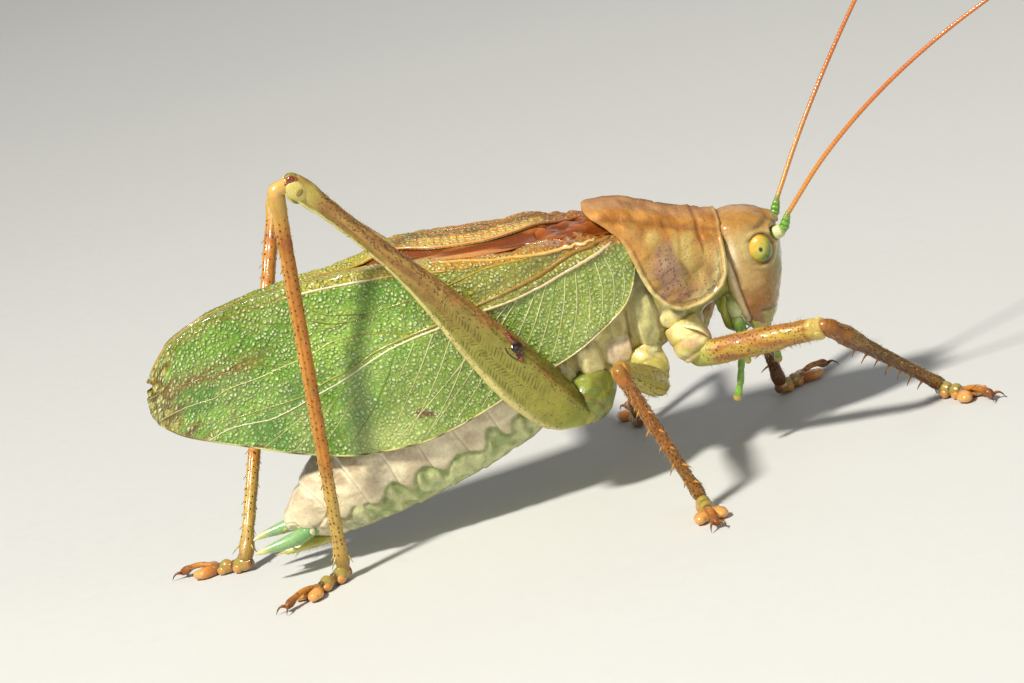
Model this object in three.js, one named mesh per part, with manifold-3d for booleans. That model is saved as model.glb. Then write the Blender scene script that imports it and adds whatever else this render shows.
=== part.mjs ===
// Long-horned grasshopper (a bush-cricket, male), standing. Millimetres, +X toward the head,
// +Y the animal's left, +Z up. The trunk is built upright in its own frame and leans about X;
// the legs run from its hips to feet that stand flat on one level.
import * as THREE from 'three';
import { mergeVertices } from 'three/addons/utils/BufferGeometryUtils.js';
import Module from 'manifold-3d';

const wasm = await Module();
wasm.setup();

// ---- driving dimensions --------------------------------------------------------------------
const LEAN = THREE.MathUtils.degToRad(4); // the back leans a little to the animal's right
const FLOOR = -9.1; // level of the flat soles, below the middle of the body
const ANKLE_RISE = 0.7; // height of the ankle joints above the soles
const GAP = 0.06; // clearance between neighbouring plates
const SHIELD = 0.5; // thickness of the pronotum
const WING = 0.5; // thickness of a tegmen
const LAP = 0.62; // how much higher the left tegmen lies where it covers the right one
const WAIST_X = 1.45; // where the abdomen meets the thorax
const NECK_X = 7.05; // where the thorax meets the prothorax
const TAIL_X = -13.9; // hind end of the abdomen
const SEGMENTS = 8; // rings of the abdomen
const RIM = 0.06; // how far each abdominal ring widens to its hind rim
const TAIL_TUCK = 0.3; // how much the last ring draws in at its end
const DOME = 0.06; // rise of the wing's dorsal field above a straight line to the fold
const FLANK_BOW = 0.11; // how far the wing's side bows out between fold and flank
const HEEL = 0.15; // how far each foot reaches back behind its ankle
const BEYOND = 12; // width of a cutting slab, more than the body's

// lengths of each leg; shinSet is how far behind and below the knee its shin starts
const LIMB = {
  hind: { hip: [2.7, 2.95, -4.0], femur: 20.3, tibia: 21.3, tarsus: 5.2, shinSet: [0.95, 0.35] },
  mid: { hip: [6.8, 2.2, -3.7], femur: 9.0, tibia: 8.3, tarsus: 4.3, shinSet: [0.35, 0] },
  fore: { hip: [9.3, 2.0, -2.9], femur: 7.0, tibia: 8.9, tarsus: 4.3, shinSet: [0.3, 0] },
};
// where each ankle stands, how far its knee swings outward (degrees), which way its toes point
const STANCE = {
  hind_right: { at: [-11.75, -3.3], swing: 7, toe: [-3.9, -3.4] },
  hind_left: { at: [-17.0, 3.5], swing: 36.4, toe: [-4.3, 2.6] },
  mid_right: { at: [7.1, -8.9], swing: 18, toe: [0.3, -4.3] },
  mid_left: { at: [5.6, 9.6], swing: 0, toe: [-0.4, 4.3] },
  fore_right: { at: [21.15, -1.1], swing: 50, toe: [2.4, -3.6] },
  fore_left: { at: [13.5, 8.0], swing: 3, toe: [3.2, 2.9] },
};
// feelers: the whip leaves its two base joints at `rise` degrees, bends toward `last` over
// `bend` mm, and leans outward
const FEELER = {
  root: [14.62, 1.15, 2.2],
  scape: 0.42,
  pedicel: 0.3,
  whip: 0.27,
  length: 38,
  pedicelLength: 0.6,
  elbow: 0.85, // where along its joint the scape begins to narrow
  stretches: 11,
  right: { pedicelAt: [15.3, 1.3, 2.55], rise: 54, last: -12, bend: 28, lean: 0.17 },
  left: { pedicelAt: [15.2, 1.4, 2.6], rise: 55, last: -10, bend: 75, lean: 0.42 },
};
const EYE = { at: [13.9, 1.72, 1.82], radii: [0.62, 0.5, 0.78] };

const COLOUR = {
  head: 0xb3a26a,
  eye: 0xc3cf5c,
  antenna: 0xc98a3e,
  labrum: 0xb59c78,
  mandible: 0x9c8a4c,
  palp: 0x8fc04a,
  pronotum: 0xb48a58,
  prothorax: 0xb9ad7a,
  thorax: 0xc4bf92,
  abdomen: 0xb5a7a0,
  tegmen: 0x83b04c,
  cercus: 0x8dbd86,
  plate: 0xd6cf7c,
  coxa: 0xcfc68c,
  femur: 0xb9944e,
  tibia: 0xbd7f3a,
  tarsus: 0xc98a52,
};

// ---- shape tables, lengths in mm -----------------------------------------------------------
// head, level sections: [z, back x, front x, half width, squareness]
const HEAD = [
  [-2.75, 12.45, 13.45, 1.15, 2.2],
  [-2.3, 12.15, 13.85, 1.5, 2.3],
  [-1.4, 11.85, 14.28, 1.8, 2.3],
  [-0.3, 11.7, 14.68, 1.95, 2.3],
  [0.8, 11.7, 14.92, 2.05, 2.3],
  [1.8, 11.75, 15.02, 2.05, 2.2],
  [2.6, 11.8, 14.95, 1.95, 2.1],
  [3.2, 11.85, 14.5, 1.65, 2.1],
  [3.6, 12.0, 13.85, 1.1, 2],
  [3.78, 12.3, 13.2, 0.5, 2],
];
// upright sections of the form under the pronotum, of the thorax and abdomen, and of the
// prothorax: [x, half width, top z, bottom z, squareness]
const SADDLE = [
  [4.9, 2.75, 6.2, -4, 3.0],
  [6.2, 2.85, 6.05, -4, 3.0],
  [7.2, 2.82, 5.85, -4, 3.0],
  [8.2, 2.78, 5.42, -4, 2.9],
  [9.4, 2.7, 4.88, -4, 2.8],
  [10.6, 2.6, 4.38, -4, 2.7],
  [11.6, 2.45, 4.05, -4, 2.6],
  [12.6, 2.3, 3.8, -4, 2.5],
];
const TRUNK = [
  [TAIL_X, 1.1, -5.3, -6.9, 2.1],
  [-12.9, 1.6, -4.1, -7.35, 2.1],
  [-11.5, 1.95, -2.85, -7.6, 2.1],
  [-9.5, 2.25, -1.75, -7.45, 2.1],
  [-6, 2.4, -0.55, -6.9, 2.1],
  [-2, 2.4, 0.9, -5.9, 2.1],
  [1.4, 2.35, 2.9, -4.6, 2.2],
  [3.5, 2.3, 4.2, -3.7, 2.3],
  [6, 2.2, 4.6, -3.2, 2.4],
  [NECK_X, 2.1, 4.7, -2.7, 2.5],
];
const PROTHORAX = [
  [NECK_X, 2.05, 4.9, -2.5, 2.6],
  [8.2, 2.05, 4.65, -2.2, 2.5],
  [9.4, 2.0, 4.15, -1.7, 2.5],
  [10.5, 1.85, 3.7, -0.9, 2.4],
  [11.62, 1.65, 3.3, -0.7, 2.3],
];
// outline of the pronotum from the side, [x, z]: front rim, lower lobe, hind rim, over the top
const SHIELD_EDGE = [
  [12.15, 5.0],
  [12.2, 3.9],
  [12.05, 2.9],
  [11.95, 2.0],
  [11.8, 1.2],
  [11.35, 0.5],
  [10.7, 0.1],
  [10.0, -0.1],
  [9.2, -0.12],
  [8.5, 0.15],
  [7.95, 0.75],
  [7.55, 1.5],
  [7.3, 2.4],
  [7.12, 3.4],
  [6.85, 4.3],
  [6.35, 5.15],
  [5.85, 5.7],
  [5.5, 6.0],
  [5.4, 7.2],
  [12.0, 7.2],
];
// tegmen: [x, fold y, fold z, flank y, flank z, lower edge y, lower edge z], y outward
const TEGMEN = [
  [7.35, 1.95, 4.1, 2.3, 3.6, 2.4, 3.15],
  [6.9, 2.2, 4.45, 2.55, 3.3, 2.6, 2.1],
  [6.2, 2.5, 4.75, 2.75, 3.0, 2.75, 1.1],
  [5, 2.8, 5.0, 2.9, 2.7, 2.85, 0.3],
  [3, 2.95, 5.3, 2.95, 2.3, 2.85, -0.7],
  [0, 3.0, 5.65, 2.95, 1.9, 2.9, -1.6],
  [-2.5, 2.75, 6.05, 3.05, 1.6, 2.95, -2.4],
  [-4.3, 2.2, 6.35, 3.1, 1.5, 2.95, -2.85],
  [-6.2, 1.65, 6.45, 2.95, 1.5, 2.9, -3.1],
  [-9, 1.05, 6.5, 2.55, 1.7, 2.6, -2.95],
  [-12, 0.7, 6.4, 2.0, 2.0, 2.1, -2.2],
  [-15, 0.62, 6.0, 1.35, 2.2, 1.3, -1.1],
  [-17, 0.6, 5.2, 1.0, 2.3, 0.95, -0.25],
  [-18.3, 0.6, 4.2, 0.8, 2.4, 0.75, 0.4],
  [-19.25, 0.55, 3.2, 0.65, 2.3, 0.62, 1.1],
];
// inner edges of the tegmina, [x, y, z]: across the song field each has its own course, and
// behind it both run beside the middle of the back
const BACK_LINE = [
  [-6.2, 0.08, 6.2],
  [-9, 0.08, 6.35],
  [-12, 0.08, 6.3],
  [-15, 0.08, 5.95],
  [-17, 0.08, 5.25],
  [-18.3, 0.08, 4.35],
  [-19.25, 0.08, 3.4],
];
const INNER_EDGE = {
  right: [
    [7.35, 1.4, 4.15],
    [6.2, 0.9, 4.85],
    [3, -0.6, 5.25],
    [0, -0.8, 5.5],
    [-2.5, -0.6, 5.75],
    [-4.3, 0.0, 6.0],
    ...BACK_LINE,
  ],
  left: [
    [7.35, 1.4, 4.15],
    [5, 0.7, 5.1],
    [3.2, 0.1, 5.25],
    [1.6, -0.8, 5.4],
    [0, -1.15, 5.5],
    [-2.5, -0.85, 5.75],
    [-4.3, -0.1, 6.0],
    ...BACK_LINE,
  ],
};
// leg pieces, [way down the piece from 0 to 1, half sizes up, down, out, in]
const THIGH = {
  hind: [
    [0, 0.4, 0.95, 0.55, 0.5],
    [0.04, 0.62, 1.75, 0.85, 0.55],
    [0.1, 0.84, 2.1, 1.05, 0.62],
    [0.18, 0.95, 2.15, 1.1, 0.68],
    [0.3, 0.95, 1.85, 1.0, 0.7],
    [0.42, 0.86, 1.35, 0.85, 0.65],
    [0.54, 0.76, 0.85, 0.7, 0.6],
    [0.66, 0.62, 0.5, 0.58, 0.52],
    [0.82, 0.52, 0.42, 0.48, 0.45],
    [0.91, 0.55, 0.52, 0.48, 0.46],
    [0.97, 0.68, 0.66, 0.55, 0.52],
    [1.03, 0.4, 0.4, 0.32, 0.3],
  ],
  mid: [
    [0, 0.6, 0.65, 0.5, 0.5],
    [0.12, 0.75, 0.85, 0.62, 0.6],
    [0.45, 0.72, 0.8, 0.6, 0.58],
    [0.8, 0.56, 0.58, 0.5, 0.5],
    [0.95, 0.6, 0.62, 0.52, 0.52],
    [1.03, 0.4, 0.4, 0.38, 0.38],
  ],
  fore: [
    [0, 0.62, 0.7, 0.55, 0.55],
    [0.12, 0.76, 0.84, 0.66, 0.62],
    [0.5, 0.78, 0.8, 0.66, 0.62],
    [0.85, 0.64, 0.64, 0.56, 0.55],
    [0.95, 0.66, 0.66, 0.58, 0.56],
    [1.03, 0.42, 0.42, 0.4, 0.4],
  ],
};
const SHIN = {
  hind: [
    [0, 0.3, 0.34, 0.3, 0.3],
    [0.02, 0.5, 0.45, 0.42, 0.4],
    [0.06, 0.44, 0.44, 0.42, 0.4],
    [0.4, 0.41, 0.41, 0.39, 0.37],
    [0.92, 0.36, 0.36, 0.36, 0.34],
    [0.97, 0.44, 0.44, 0.42, 0.42],
    [1, 0.36, 0.36, 0.36, 0.36],
  ],
  mid: [
    [0, 0.3, 0.3, 0.3, 0.3],
    [0.05, 0.44, 0.44, 0.42, 0.42],
    [0.25, 0.42, 0.42, 0.4, 0.4],
    [0.85, 0.33, 0.33, 0.33, 0.33],
    [0.96, 0.42, 0.42, 0.42, 0.42],
    [1, 0.34, 0.34, 0.34, 0.34],
  ],
  fore: [
    [0, 0.36, 0.36, 0.34, 0.34],
    [0.05, 0.52, 0.52, 0.48, 0.48],
    [0.18, 0.58, 0.56, 0.52, 0.52],
    [0.35, 0.42, 0.42, 0.4, 0.4],
    [0.9, 0.35, 0.35, 0.35, 0.35],
    [1, 0.38, 0.38, 0.38, 0.38],
  ],
};
// foot from the ankle to the claw joint: [way along from 0 to 1, half width, height]
const FOOT = [
  [0, 0.36, 0.95],
  [0.2, 0.46, 0.86],
  [0.25, 0.36, 0.8],
  [0.37, 0.44, 0.8],
  [0.44, 0.4, 0.72],
  [0.5, 0.72, 0.64],
  [0.58, 0.86, 0.6],
  [0.67, 0.62, 0.58],
  [0.72, 0.3, 0.55],
  [0.93, 0.32, 0.55],
  [1, 0.25, 0.5],
];
// hip joints, from inside the body: start point and the three radii on the way to the hip
const COXA = {
  fore: { from: [8.9, 1.35, -1.2], radii: [0.95, 1.0, 0.78] },
  mid: { from: [6.4, 1.2, -2.1], radii: [1.05, 1.05, 0.78] },
  hind: { from: [3.5, 1.3, -2.9], radii: [1.35, 1.3, 0.85] },
};

// ---- curves --------------------------------------------------------------------------------
const vec = (p) => new THREE.Vector3(p[0], p[1], p[2]);
const mix = (a, b, t) => a.map((v, i) => v + (b[i] - v) * t);
const mirrored = (p, side) => [p[0], side * p[1], p[2]];

function slopeAt(rows, i, j) {
  const rate = (k) => (rows[k + 1][j] - rows[k][j]) / (rows[k + 1][0] - rows[k][0]);
  if (i === 0) return rate(0);
  if (i === rows.length - 1) return rate(i - 1);
  const before = rate(i - 1);
  const after = rate(i);
  return before * after <= 0 ? 0 : (2 * before * after) / (before + after);
}

// the values of a table at t, smooth and without overshoot; rows may run up or down in t
function along(rows, t) {
  const way = Math.sign(rows[rows.length - 1][0] - rows[0][0]);
  let k = 0;
  while (k < rows.length - 2 && (t - rows[k + 1][0]) * way > 0) k += 1;
  const [a, b] = [rows[k], rows[k + 1]];
  const h = b[0] - a[0];
  const u = THREE.MathUtils.clamp((t - a[0]) / h, 0, 1);
  return a.slice(1).map((value, i) => {
    const m0 = slopeAt(rows, k, i + 1) * h;
    const m1 = slopeAt(rows, k + 1, i + 1) * h;
    const d = b[i + 1] - value;
    return value + u * m0 + u * u * (3 * d - 2 * m0 - m1) + u * u * u * (m0 + m1 - 2 * d);
  });
}

// ---- solids --------------------------------------------------------------------------------
const square = (c, e) => Math.sign(c) * Math.abs(c) ** (2 / e);

// n points about `at`; sizes are [+u, -u, +v, -v], and a larger e squares the ring off
function ring(at, u, v, sizes, n, e = 2) {
  return Array.from({ length: n }, (_, i) => {
    const angle = ((i + 0.5) / n) * 2 * Math.PI;
    const c = square(Math.cos(angle), e);
    const s = square(Math.sin(angle), e);
    const a = c * (c > 0 ? sizes[0] : sizes[1]);
    const b = s * (s > 0 ? sizes[2] : sizes[3]);
    return at.map((p, j) => p + u[j] * a + v[j] * b);
  });
}

// closed skin over rings of equal length, its ends closed by fans, or by a strip on a bent sheet
function skin(rings, strip = false) {
  const n = rings[0].length;
  const points = rings.flat();
  const index = [];
  for (let r = 0; r < rings.length - 1; r += 1) {
    for (let i = 0; i < n; i += 1) {
      const a = r * n + i;
      const b = r * n + ((i + 1) % n);
      index.push(a, b, b + n, a, b + n, a + n);
    }
  }
  const closeEnd = (r, first) => {
    const at = r * n;
    const add = (a, b, c) => index.push(a, ...(first ? [b, c] : [c, b]));
    if (strip) {
      for (let i = 0; i < n / 2 - 1; i += 1) {
        add(at + i, at + n - 1 - i, at + i + 1);
        add(at + i + 1, at + n - 1 - i, at + n - 2 - i);
      }
    } else {
      points.push(rings[r].reduce((m, p) => m.map((v, j) => v + p[j] / n), [0, 0, 0]));
      for (let i = 0; i < n; i += 1) add(points.length - 1, at + ((i + 1) % n), at + i);
    }
  };
  closeEnd(0, true);
  closeEnd(rings.length - 1, false);
  const geometry = new THREE.BufferGeometry();
  geometry.setAttribute('position', new THREE.Float32BufferAttribute(points.flat(), 3));
  geometry.setIndex(volume(points, index) < 0 ? index.reverse() : index);
  return geometry;
}

function volume(points, index) {
  let sum = 0;
  for (let i = 0; i < index.length; i += 3) {
    const [a, b, c] = [0, 1, 2].map((k) => vec(points[index[i + k]]));
    sum += a.dot(b.cross(c)) / 6;
  }
  return sum;
}

// first and last ring step outward by g along the row, so that a grown copy is longer too
const endShift = (i, count, g) => (i === 0 ? -g : i === count - 1 ? g : 0);

// upright sections along X
function barrel(rows, xs, n, g = 0) {
  const way = Math.sign(xs[1] - xs[0]);
  return skin(xs.map((x, i) => {
    const [w, top, bottom, e] = along(rows, x);
    const h = (top - bottom) / 2 + g;
    const at = [x + way * endShift(i, xs.length, g), 0, (top + bottom) / 2];
    return ring(at, [0, 1, 0], [0, 0, 1], [w + g, w + g, h, h], n, e);
  }));
}

// limb piece from a to b; `outward` is the side that faces away from the body
function limb(a, b, outward, rows, n, g = 0) {
  const axis = vec(b).sub(vec(a));
  const length = axis.length();
  axis.normalize();
  const side = vec(outward).projectOnPlane(axis).normalize();
  const up = new THREE.Vector3().crossVectors(side, axis);
  if (up.z < 0) up.negate();
  return skin(rows.map(([t, rise, fall, out, inn], i) => {
    const at = vec(a).addScaledVector(axis, t * length + endShift(i, rows.length, g));
    const sizes = [out + g, inn + g, rise + g, fall + g];
    return ring(at.toArray(), side.toArray(), up.toArray(), sizes, n, 2.2);
  }));
}

// round rod through points, with a radius at each
function rod(points, radii, n, g = 0) {
  const path = points.map(vec);
  let side = new THREE.Vector3(0.1, 1, 0.2);
  return skin(path.map((p, i) => {
    const ahead = path[Math.min(i + 1, path.length - 1)];
    const axis = ahead.clone().sub(path[Math.max(i - 1, 0)]).normalize();
    side = side.clone().projectOnPlane(axis).normalize();
    const up = new THREE.Vector3().crossVectors(axis, side);
    const r = radii[i] + g;
    const at = p.clone().addScaledVector(axis, endShift(i, path.length, g));
    return ring(at.toArray(), side.toArray(), up.toArray(), [r, r, r, r], n);
  }));
}

// slab right across the body with a side outline, grown by g all round
function slab(outline, g) {
  const n = outline.length;
  const grown = outline.map((p, i) => {
    const before = new THREE.Vector2(...outline[(i + n - 1) % n]);
    const heading = new THREE.Vector2(...outline[(i + 1) % n]).sub(before).normalize();
    return new THREE.Vector2(p[0] - g * heading.y, p[1] + g * heading.x);
  });
  const options = { depth: BEYOND, bevelEnabled: false };
  const geometry = new THREE.ExtrudeGeometry(new THREE.Shape(grown), options);
  return geometry.translate(0, 0, -BEYOND / 2).rotateX(Math.PI / 2);
}

// ---- joining and cutting -------------------------------------------------------------------
function toSolid(geometry) {
  const bare = new THREE.BufferGeometry();
  bare.setAttribute('position', geometry.getAttribute('position'));
  bare.setIndex(geometry.index);
  const merged = mergeVertices(bare, 1e-4);
  return new wasm.Manifold(new wasm.Mesh({
    numProp: 3,
    vertProperties: new Float32Array(merged.getAttribute('position').array),
    triVerts: new Uint32Array(merged.index.array),
  }));
}

function toGeometry(solid) {
  const mesh = solid.getMesh();
  const geometry = new THREE.BufferGeometry();
  geometry.setAttribute('position', new THREE.BufferAttribute(mesh.vertProperties, 3));
  geometry.setIndex(new THREE.BufferAttribute(mesh.triVerts, 1));
  return geometry;
}

// what is left of a shape clear of the others; only its main piece is kept
function clear(geometry, ...others) {
  const rest = others.reduce((solid, other) => solid.subtract(toSolid(other)), toSolid(geometry));
  return toGeometry(rest.decompose().reduce((a, b) => (b.volume() > a.volume() ? b : a)));
}

// ---- trunk pieces; g grows a copy that its neighbours are cut by ---------------------------
function headShape(g = 0) {
  const levels = [-2.75, -2.45, -1.9, -1.1, -0.2, 0.8, 1.8, 2.5, 3.1, 3.5, 3.7, 3.78];
  const skull = skin(levels.map((z, i) => {
    const [back, front, w, e] = along(HEAD, z);
    const h = (front - back) / 2 + g;
    const at = [(back + front) / 2, 0, z + endShift(i, levels.length, g)];
    return ring(at, [1, 0, 0], [0, 1, 0], [h, h, w + g, w + g], 14, e);
  }));
  // the blunt peak between the feelers
  const peak = [[13.6, 0, 2.75], [14.6, 0, 2.75], [15.15, 0, 2.68], [15.3, 0, 2.62]];
  return toGeometry(toSolid(skull).add(toSolid(rod(peak, [0.8, 0.62, 0.45, 0.2], 8, g))));
}

function eyeShape(side, g = 0) {
  const [x, y, z] = EYE.radii.map((r) => r + g);
  return new THREE.SphereGeometry(1, 12, 8).scale(x, y, z).translate(...mirrored(EYE.at, side));
}

function feelerShape(name, side) {
  const { root, scape, pedicel, pedicelLength, elbow, whip, length, stretches } = FEELER;
  const { pedicelAt, rise, last, bend, lean } = FEELER[name];
  const points = [root, mix(root, pedicelAt, elbow), pedicelAt];
  const radii = [scape, scape, pedicel];
  let at = vec(pedicelAt);
  for (let i = 0; i <= stretches; i += 1) {
    const run = (i / stretches) * length;
    const angle = THREE.MathUtils.degToRad(last + (rise - last) * Math.exp(-run / bend));
    const step = new THREE.Vector3(Math.cos(angle), lean, Math.sin(angle)).normalize();
    at = at.clone().addScaledVector(step, i === 0 ? pedicelLength : length / stretches);
    points.push(at.toArray());
    radii.push(i === 0 ? pedicel : whip);
  }
  return rod(points.map((p) => mirrored(p, side)), radii, 6);
}

function labrumShape(g = 0) {
  return rod([[13.3, 0, -2.3], [13.15, 0, -2.9], [12.85, 0, -3.2]], [0.5, 0.58, 0.35], 8, g);
}

function mandibleShape(side, g = 0) {
  const points = [[12.75, 0.95, -2.2], [12.85, 0.78, -2.95], [12.75, 0.55, -3.3]];
  return rod(points.map((p) => mirrored(p, side)), [0.6, 0.48, 0.3], 8, g);
}

// the stout base of the maxilla, then its palp; the two sides are held a little differently
function maxillaryPalpShape(side) {
  const base = [[11.5, 1.3, -0.75], [11.5, 1.45, -1.5], [11.6, 1.5, -2.3]];
  const tip = {
    left: [[12.5, 1.8, -3.3], [13.2, 2.1, -4.2], [13.5, 2.2, -5.1], [13.45, 2.2, -5.75]],
    right: [[11.5, 1.8, -3.3], [11.2, 1.95, -4.2], [10.95, 2.0, -5.0], [10.6, 2.0, -5.75]],
  }[side > 0 ? 'left' : 'right'];
  const radii = [0.4, 0.48, 0.4, 0.29, 0.27, 0.29, 0.32];
  return rod([...base, ...tip].map((p) => mirrored(p, side)), radii, 6);
}

function labialPalpShape(side) {
  const joints = [[11.95, 0.5, -2.95], [11.75, 0.7, -3.6], [11.6, 0.85, -4.3], [11.55, 0.85, -4.9]];
  return rod(joints.map((p) => mirrored(p, side)), [0.3, 0.27, 0.25, 0.28], 6);
}

function pronotumShape(g = 0) {
  const stations = [4.9, 6, 7, 8, 9, 10, 11, 12.6];
  const outer = toSolid(barrel(SADDLE, stations, 20, g));
  const inner = toSolid(barrel(SADDLE, stations, 20, -SHIELD - g));
  return toGeometry(outer.intersect(toSolid(slab(SHIELD_EDGE, g))).subtract(inner));
}

function prothoraxShape(g = 0) {
  return barrel(PROTHORAX, [NECK_X, 8.2, 9.4, 10.5, 11.62], 16, g);
}

function thoraxShape(g = 0) {
  return barrel(TRUNK, [WAIST_X + GAP, 2.6, 3.8, 5, 6, NECK_X - GAP], 16, g);
}

function abdomenShape(g = 0) {
  const length = WAIST_X - TAIL_X;
  const stations = [];
  for (let s = 0; s < SEGMENTS; s += 1) {
    // each ring widens a little to its hind rim, and the next starts tucked in under it
    const start = WAIST_X - (length * s) / SEGMENTS;
    const rim = start - (length * 0.9) / SEGMENTS;
    stations.push([start, -RIM], [rim, s < SEGMENTS - 1 ? RIM : -RIM]);
  }
  stations.push([TAIL_X, -TAIL_TUCK]);
  return skin(stations.map(([x, swell], i) => {
    const [w, top, bottom, e] = along(TRUNK, x);
    const h = (top - bottom) / 2 + swell + g;
    const at = [x - endShift(i, stations.length, g), 0, (top + bottom) / 2];
    return ring(at, [0, 1, 0], [0, 0, 1], [w + swell + g, w + swell + g, h, h], 14, e);
  }));
}

// leathery fore wing: dorsal field, rounded fold, flank; a bent sheet of even thickness
function tegmenShape(name, g = 0) {
  const side = name === 'left' ? 1 : -1;
  const stations = [7.35, 6.9, 6.2, 5, 3.2, 1.4, -0.6, -2.5, -4.3, -6.2, -9, -12, -14.8, -16.6, -18, -19.25];
  return skin(stations.map((x, i) => {
    const [foldY, foldZ, flankY, flankZ, lowY, lowZ] = along(TEGMEN, x);
    const [edgeY, edgeZ] = along(INNER_EDGE[name], x);
    const lift = name === 'left' ? LAP * THREE.MathUtils.smoothstep(x, -7.5, -4.3) : 0;
    const edge = [edgeY, edgeZ + lift];
    const fold = [foldY, foldZ + 0.7 * lift];
    const flank = [flankY, flankZ];
    const low = [lowY, lowZ];
    const domed = mix(edge, fold, 0.5);
    domed[1] += DOME;
    const bowed = mix(fold, flank, 0.5);
    bowed[0] += FLANK_BOW;
    const line = [edge, domed, mix(edge, fold, 0.88), mix(fold, flank, 0.1)];
    line.push(bowed, flank, mix(flank, low, 0.5), low);
    const outer = [];
    const inner = [];
    line.forEach((p, k) => {
      const a = line[Math.max(k - 1, 0)];
      const b = line[Math.min(k + 1, line.length - 1)];
      const length = Math.hypot(b[0] - a[0], b[1] - a[1]);
      const heading = [(b[0] - a[0]) / length, (b[1] - a[1]) / length];
      const past = endShift(k, line.length, g);
      const q = [p[0] + heading[0] * past, p[1] + heading[1] * past];
      outer.push([q[0] - heading[1] * g, q[1] + heading[0] * g]);
      inner.unshift([q[0] + heading[1] * (WING + g), q[1] - heading[0] * (WING + g)]);
    });
    const shift = -endShift(i, stations.length, g);
    return [...outer, ...inner].map(([y, z]) => [x + shift, side * y, z]);
  }), true);
}

function cercusShape(side, g = 0) {
  const points = [[-12.6, 0.95, -6.55], [-13.6, 1.15, -6.8], [-14.9, 1.28, -6.95], [-16.15, 1.2, -7.05]];
  return rod(points.map((p) => mirrored(p, side)), [0.42, 0.42, 0.32, 0.25], 8, g);
}

function genitalPlateShape() {
  const rows = [[0, 0.32, 0.3, 0.95, 0.95], [0.5, 0.32, 0.32, 0.8, 0.8], [1, 0.25, 0.25, 0.4, 0.4]];
  return limb([-11.6, 0, -7.55], [-14.7, 0, -7.75], [0, 1, 0], rows, 8);
}

// ---- leg pieces ----------------------------------------------------------------------------
// knee from hip, ankle and both lengths; `swing` turns it outward about the hip-ankle line
function kneeAt(hip, ankle, femur, tibia, swing, side) {
  const axis = vec(ankle).sub(vec(hip));
  const span = axis.length();
  axis.normalize();
  const reach = (femur ** 2 - tibia ** 2 + span ** 2) / (2 * span);
  const height = Math.sqrt(femur ** 2 - reach ** 2);
  const up = new THREE.Vector3(0, 0, 1).projectOnPlane(axis).normalize();
  const out = new THREE.Vector3().crossVectors(up, axis);
  if (out.y * side < 0) out.negate();
  const turn = THREE.MathUtils.degToRad(swing);
  return vec(hip)
    .addScaledVector(axis, reach)
    .addScaledVector(up, height * Math.cos(turn))
    .addScaledVector(out, height * Math.sin(turn))
    .toArray();
}

// four-jointed foot on a flat sole, with its broad heart-shaped third joint
function footShape(ankle, toe, length) {
  const ahead = new THREE.Vector3(toe[0], toe[1], 0).normalize();
  // outline across the foot, in half widths and heights: a flat sole under a rounded back
  const arch = [[1, 0], [1, 0.5], [0.62, 0.92], [0, 1], [-0.62, 0.92], [-1, 0.5], [-1, 0]];
  return skin(FOOT.map(([t, w, height]) => {
    const x = ankle[0] + ahead.x * (t * length - HEEL);
    const y = ankle[1] + ahead.y * (t * length - HEEL);
    return arch.map(([a, b]) => [x - ahead.y * a * w, y + ahead.x * a * w, FLOOR + b * height]);
  }));
}

// ---- the trunk -----------------------------------------------------------------------------
const animal = new THREE.Group();
const trunk = new THREE.Group();
trunk.rotation.x = LEAN;
animal.add(trunk);

function place(parent, name, geometry, color, roughness = 0.55) {
  geometry.computeVertexNormals();
  const mesh = new THREE.Mesh(geometry, new THREE.MeshStandardMaterial({ color, roughness }));
  mesh.name = name;
  parent.add(mesh);
}
const SIDES = { left: 1, right: -1 };
const eachSide = (make) => Object.entries(SIDES).forEach(([name, side]) => make(name, side));

const headRoom = headShape(GAP);
const shieldRoom = pronotumShape(GAP);
const jawRoom = [mandibleShape(1, GAP), mandibleShape(-1, GAP)];
const cercusRoom = [cercusShape(1, GAP), cercusShape(-1, GAP)];
const coreRoom = [thoraxShape(GAP), abdomenShape(GAP), prothoraxShape(GAP)];
const wingRoom = { left: tegmenShape('left', GAP), right: tegmenShape('right', GAP) };

place(trunk, 'head', clear(headShape(), eyeShape(1, GAP), eyeShape(-1, GAP)), COLOUR.head, 0.4);
place(trunk, 'labrum', clear(labrumShape(), headRoom), COLOUR.labrum);
place(trunk, 'pronotum', clear(pronotumShape(), headRoom), COLOUR.pronotum);
place(trunk, 'prothorax', prothoraxShape(), COLOUR.prothorax);
place(trunk, 'thorax', thoraxShape(), COLOUR.thorax);
place(trunk, 'abdomen', clear(abdomenShape(), ...cercusRoom), COLOUR.abdomen);
place(trunk, 'subgenital_plate', clear(genitalPlateShape(), coreRoom[1], ...cercusRoom), COLOUR.plate);
eachSide((name, side) => {
  place(trunk, `eye_${name}`, eyeShape(side), COLOUR.eye, 0.15);
  place(trunk, `antenna_${name}`, clear(feelerShape(name, side), headRoom), COLOUR.antenna);
  const facing = name === 'right' ? [jawRoom[0]] : [];
  const mandible = clear(mandibleShape(side), headRoom, labrumShape(GAP), ...facing);
  place(trunk, `mandible_${name}`, mandible, COLOUR.mandible);
  const palpLimits = [headRoom, coreRoom[2], ...jawRoom];
  place(trunk, `maxillary_palp_${name}`, clear(maxillaryPalpShape(side), ...palpLimits), COLOUR.palp);
  place(trunk, `labial_palp_${name}`, clear(labialPalpShape(side), ...palpLimits), COLOUR.palp);
  const under = name === 'left' ? [wingRoom.right] : [];
  const tegmen = clear(tegmenShape(name), shieldRoom, ...coreRoom, ...under);
  place(trunk, `tegmen_${name}`, tegmen, COLOUR.tegmen);
  place(trunk, `cercus_${name}`, cercusShape(side), COLOUR.cercus);
});

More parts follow.
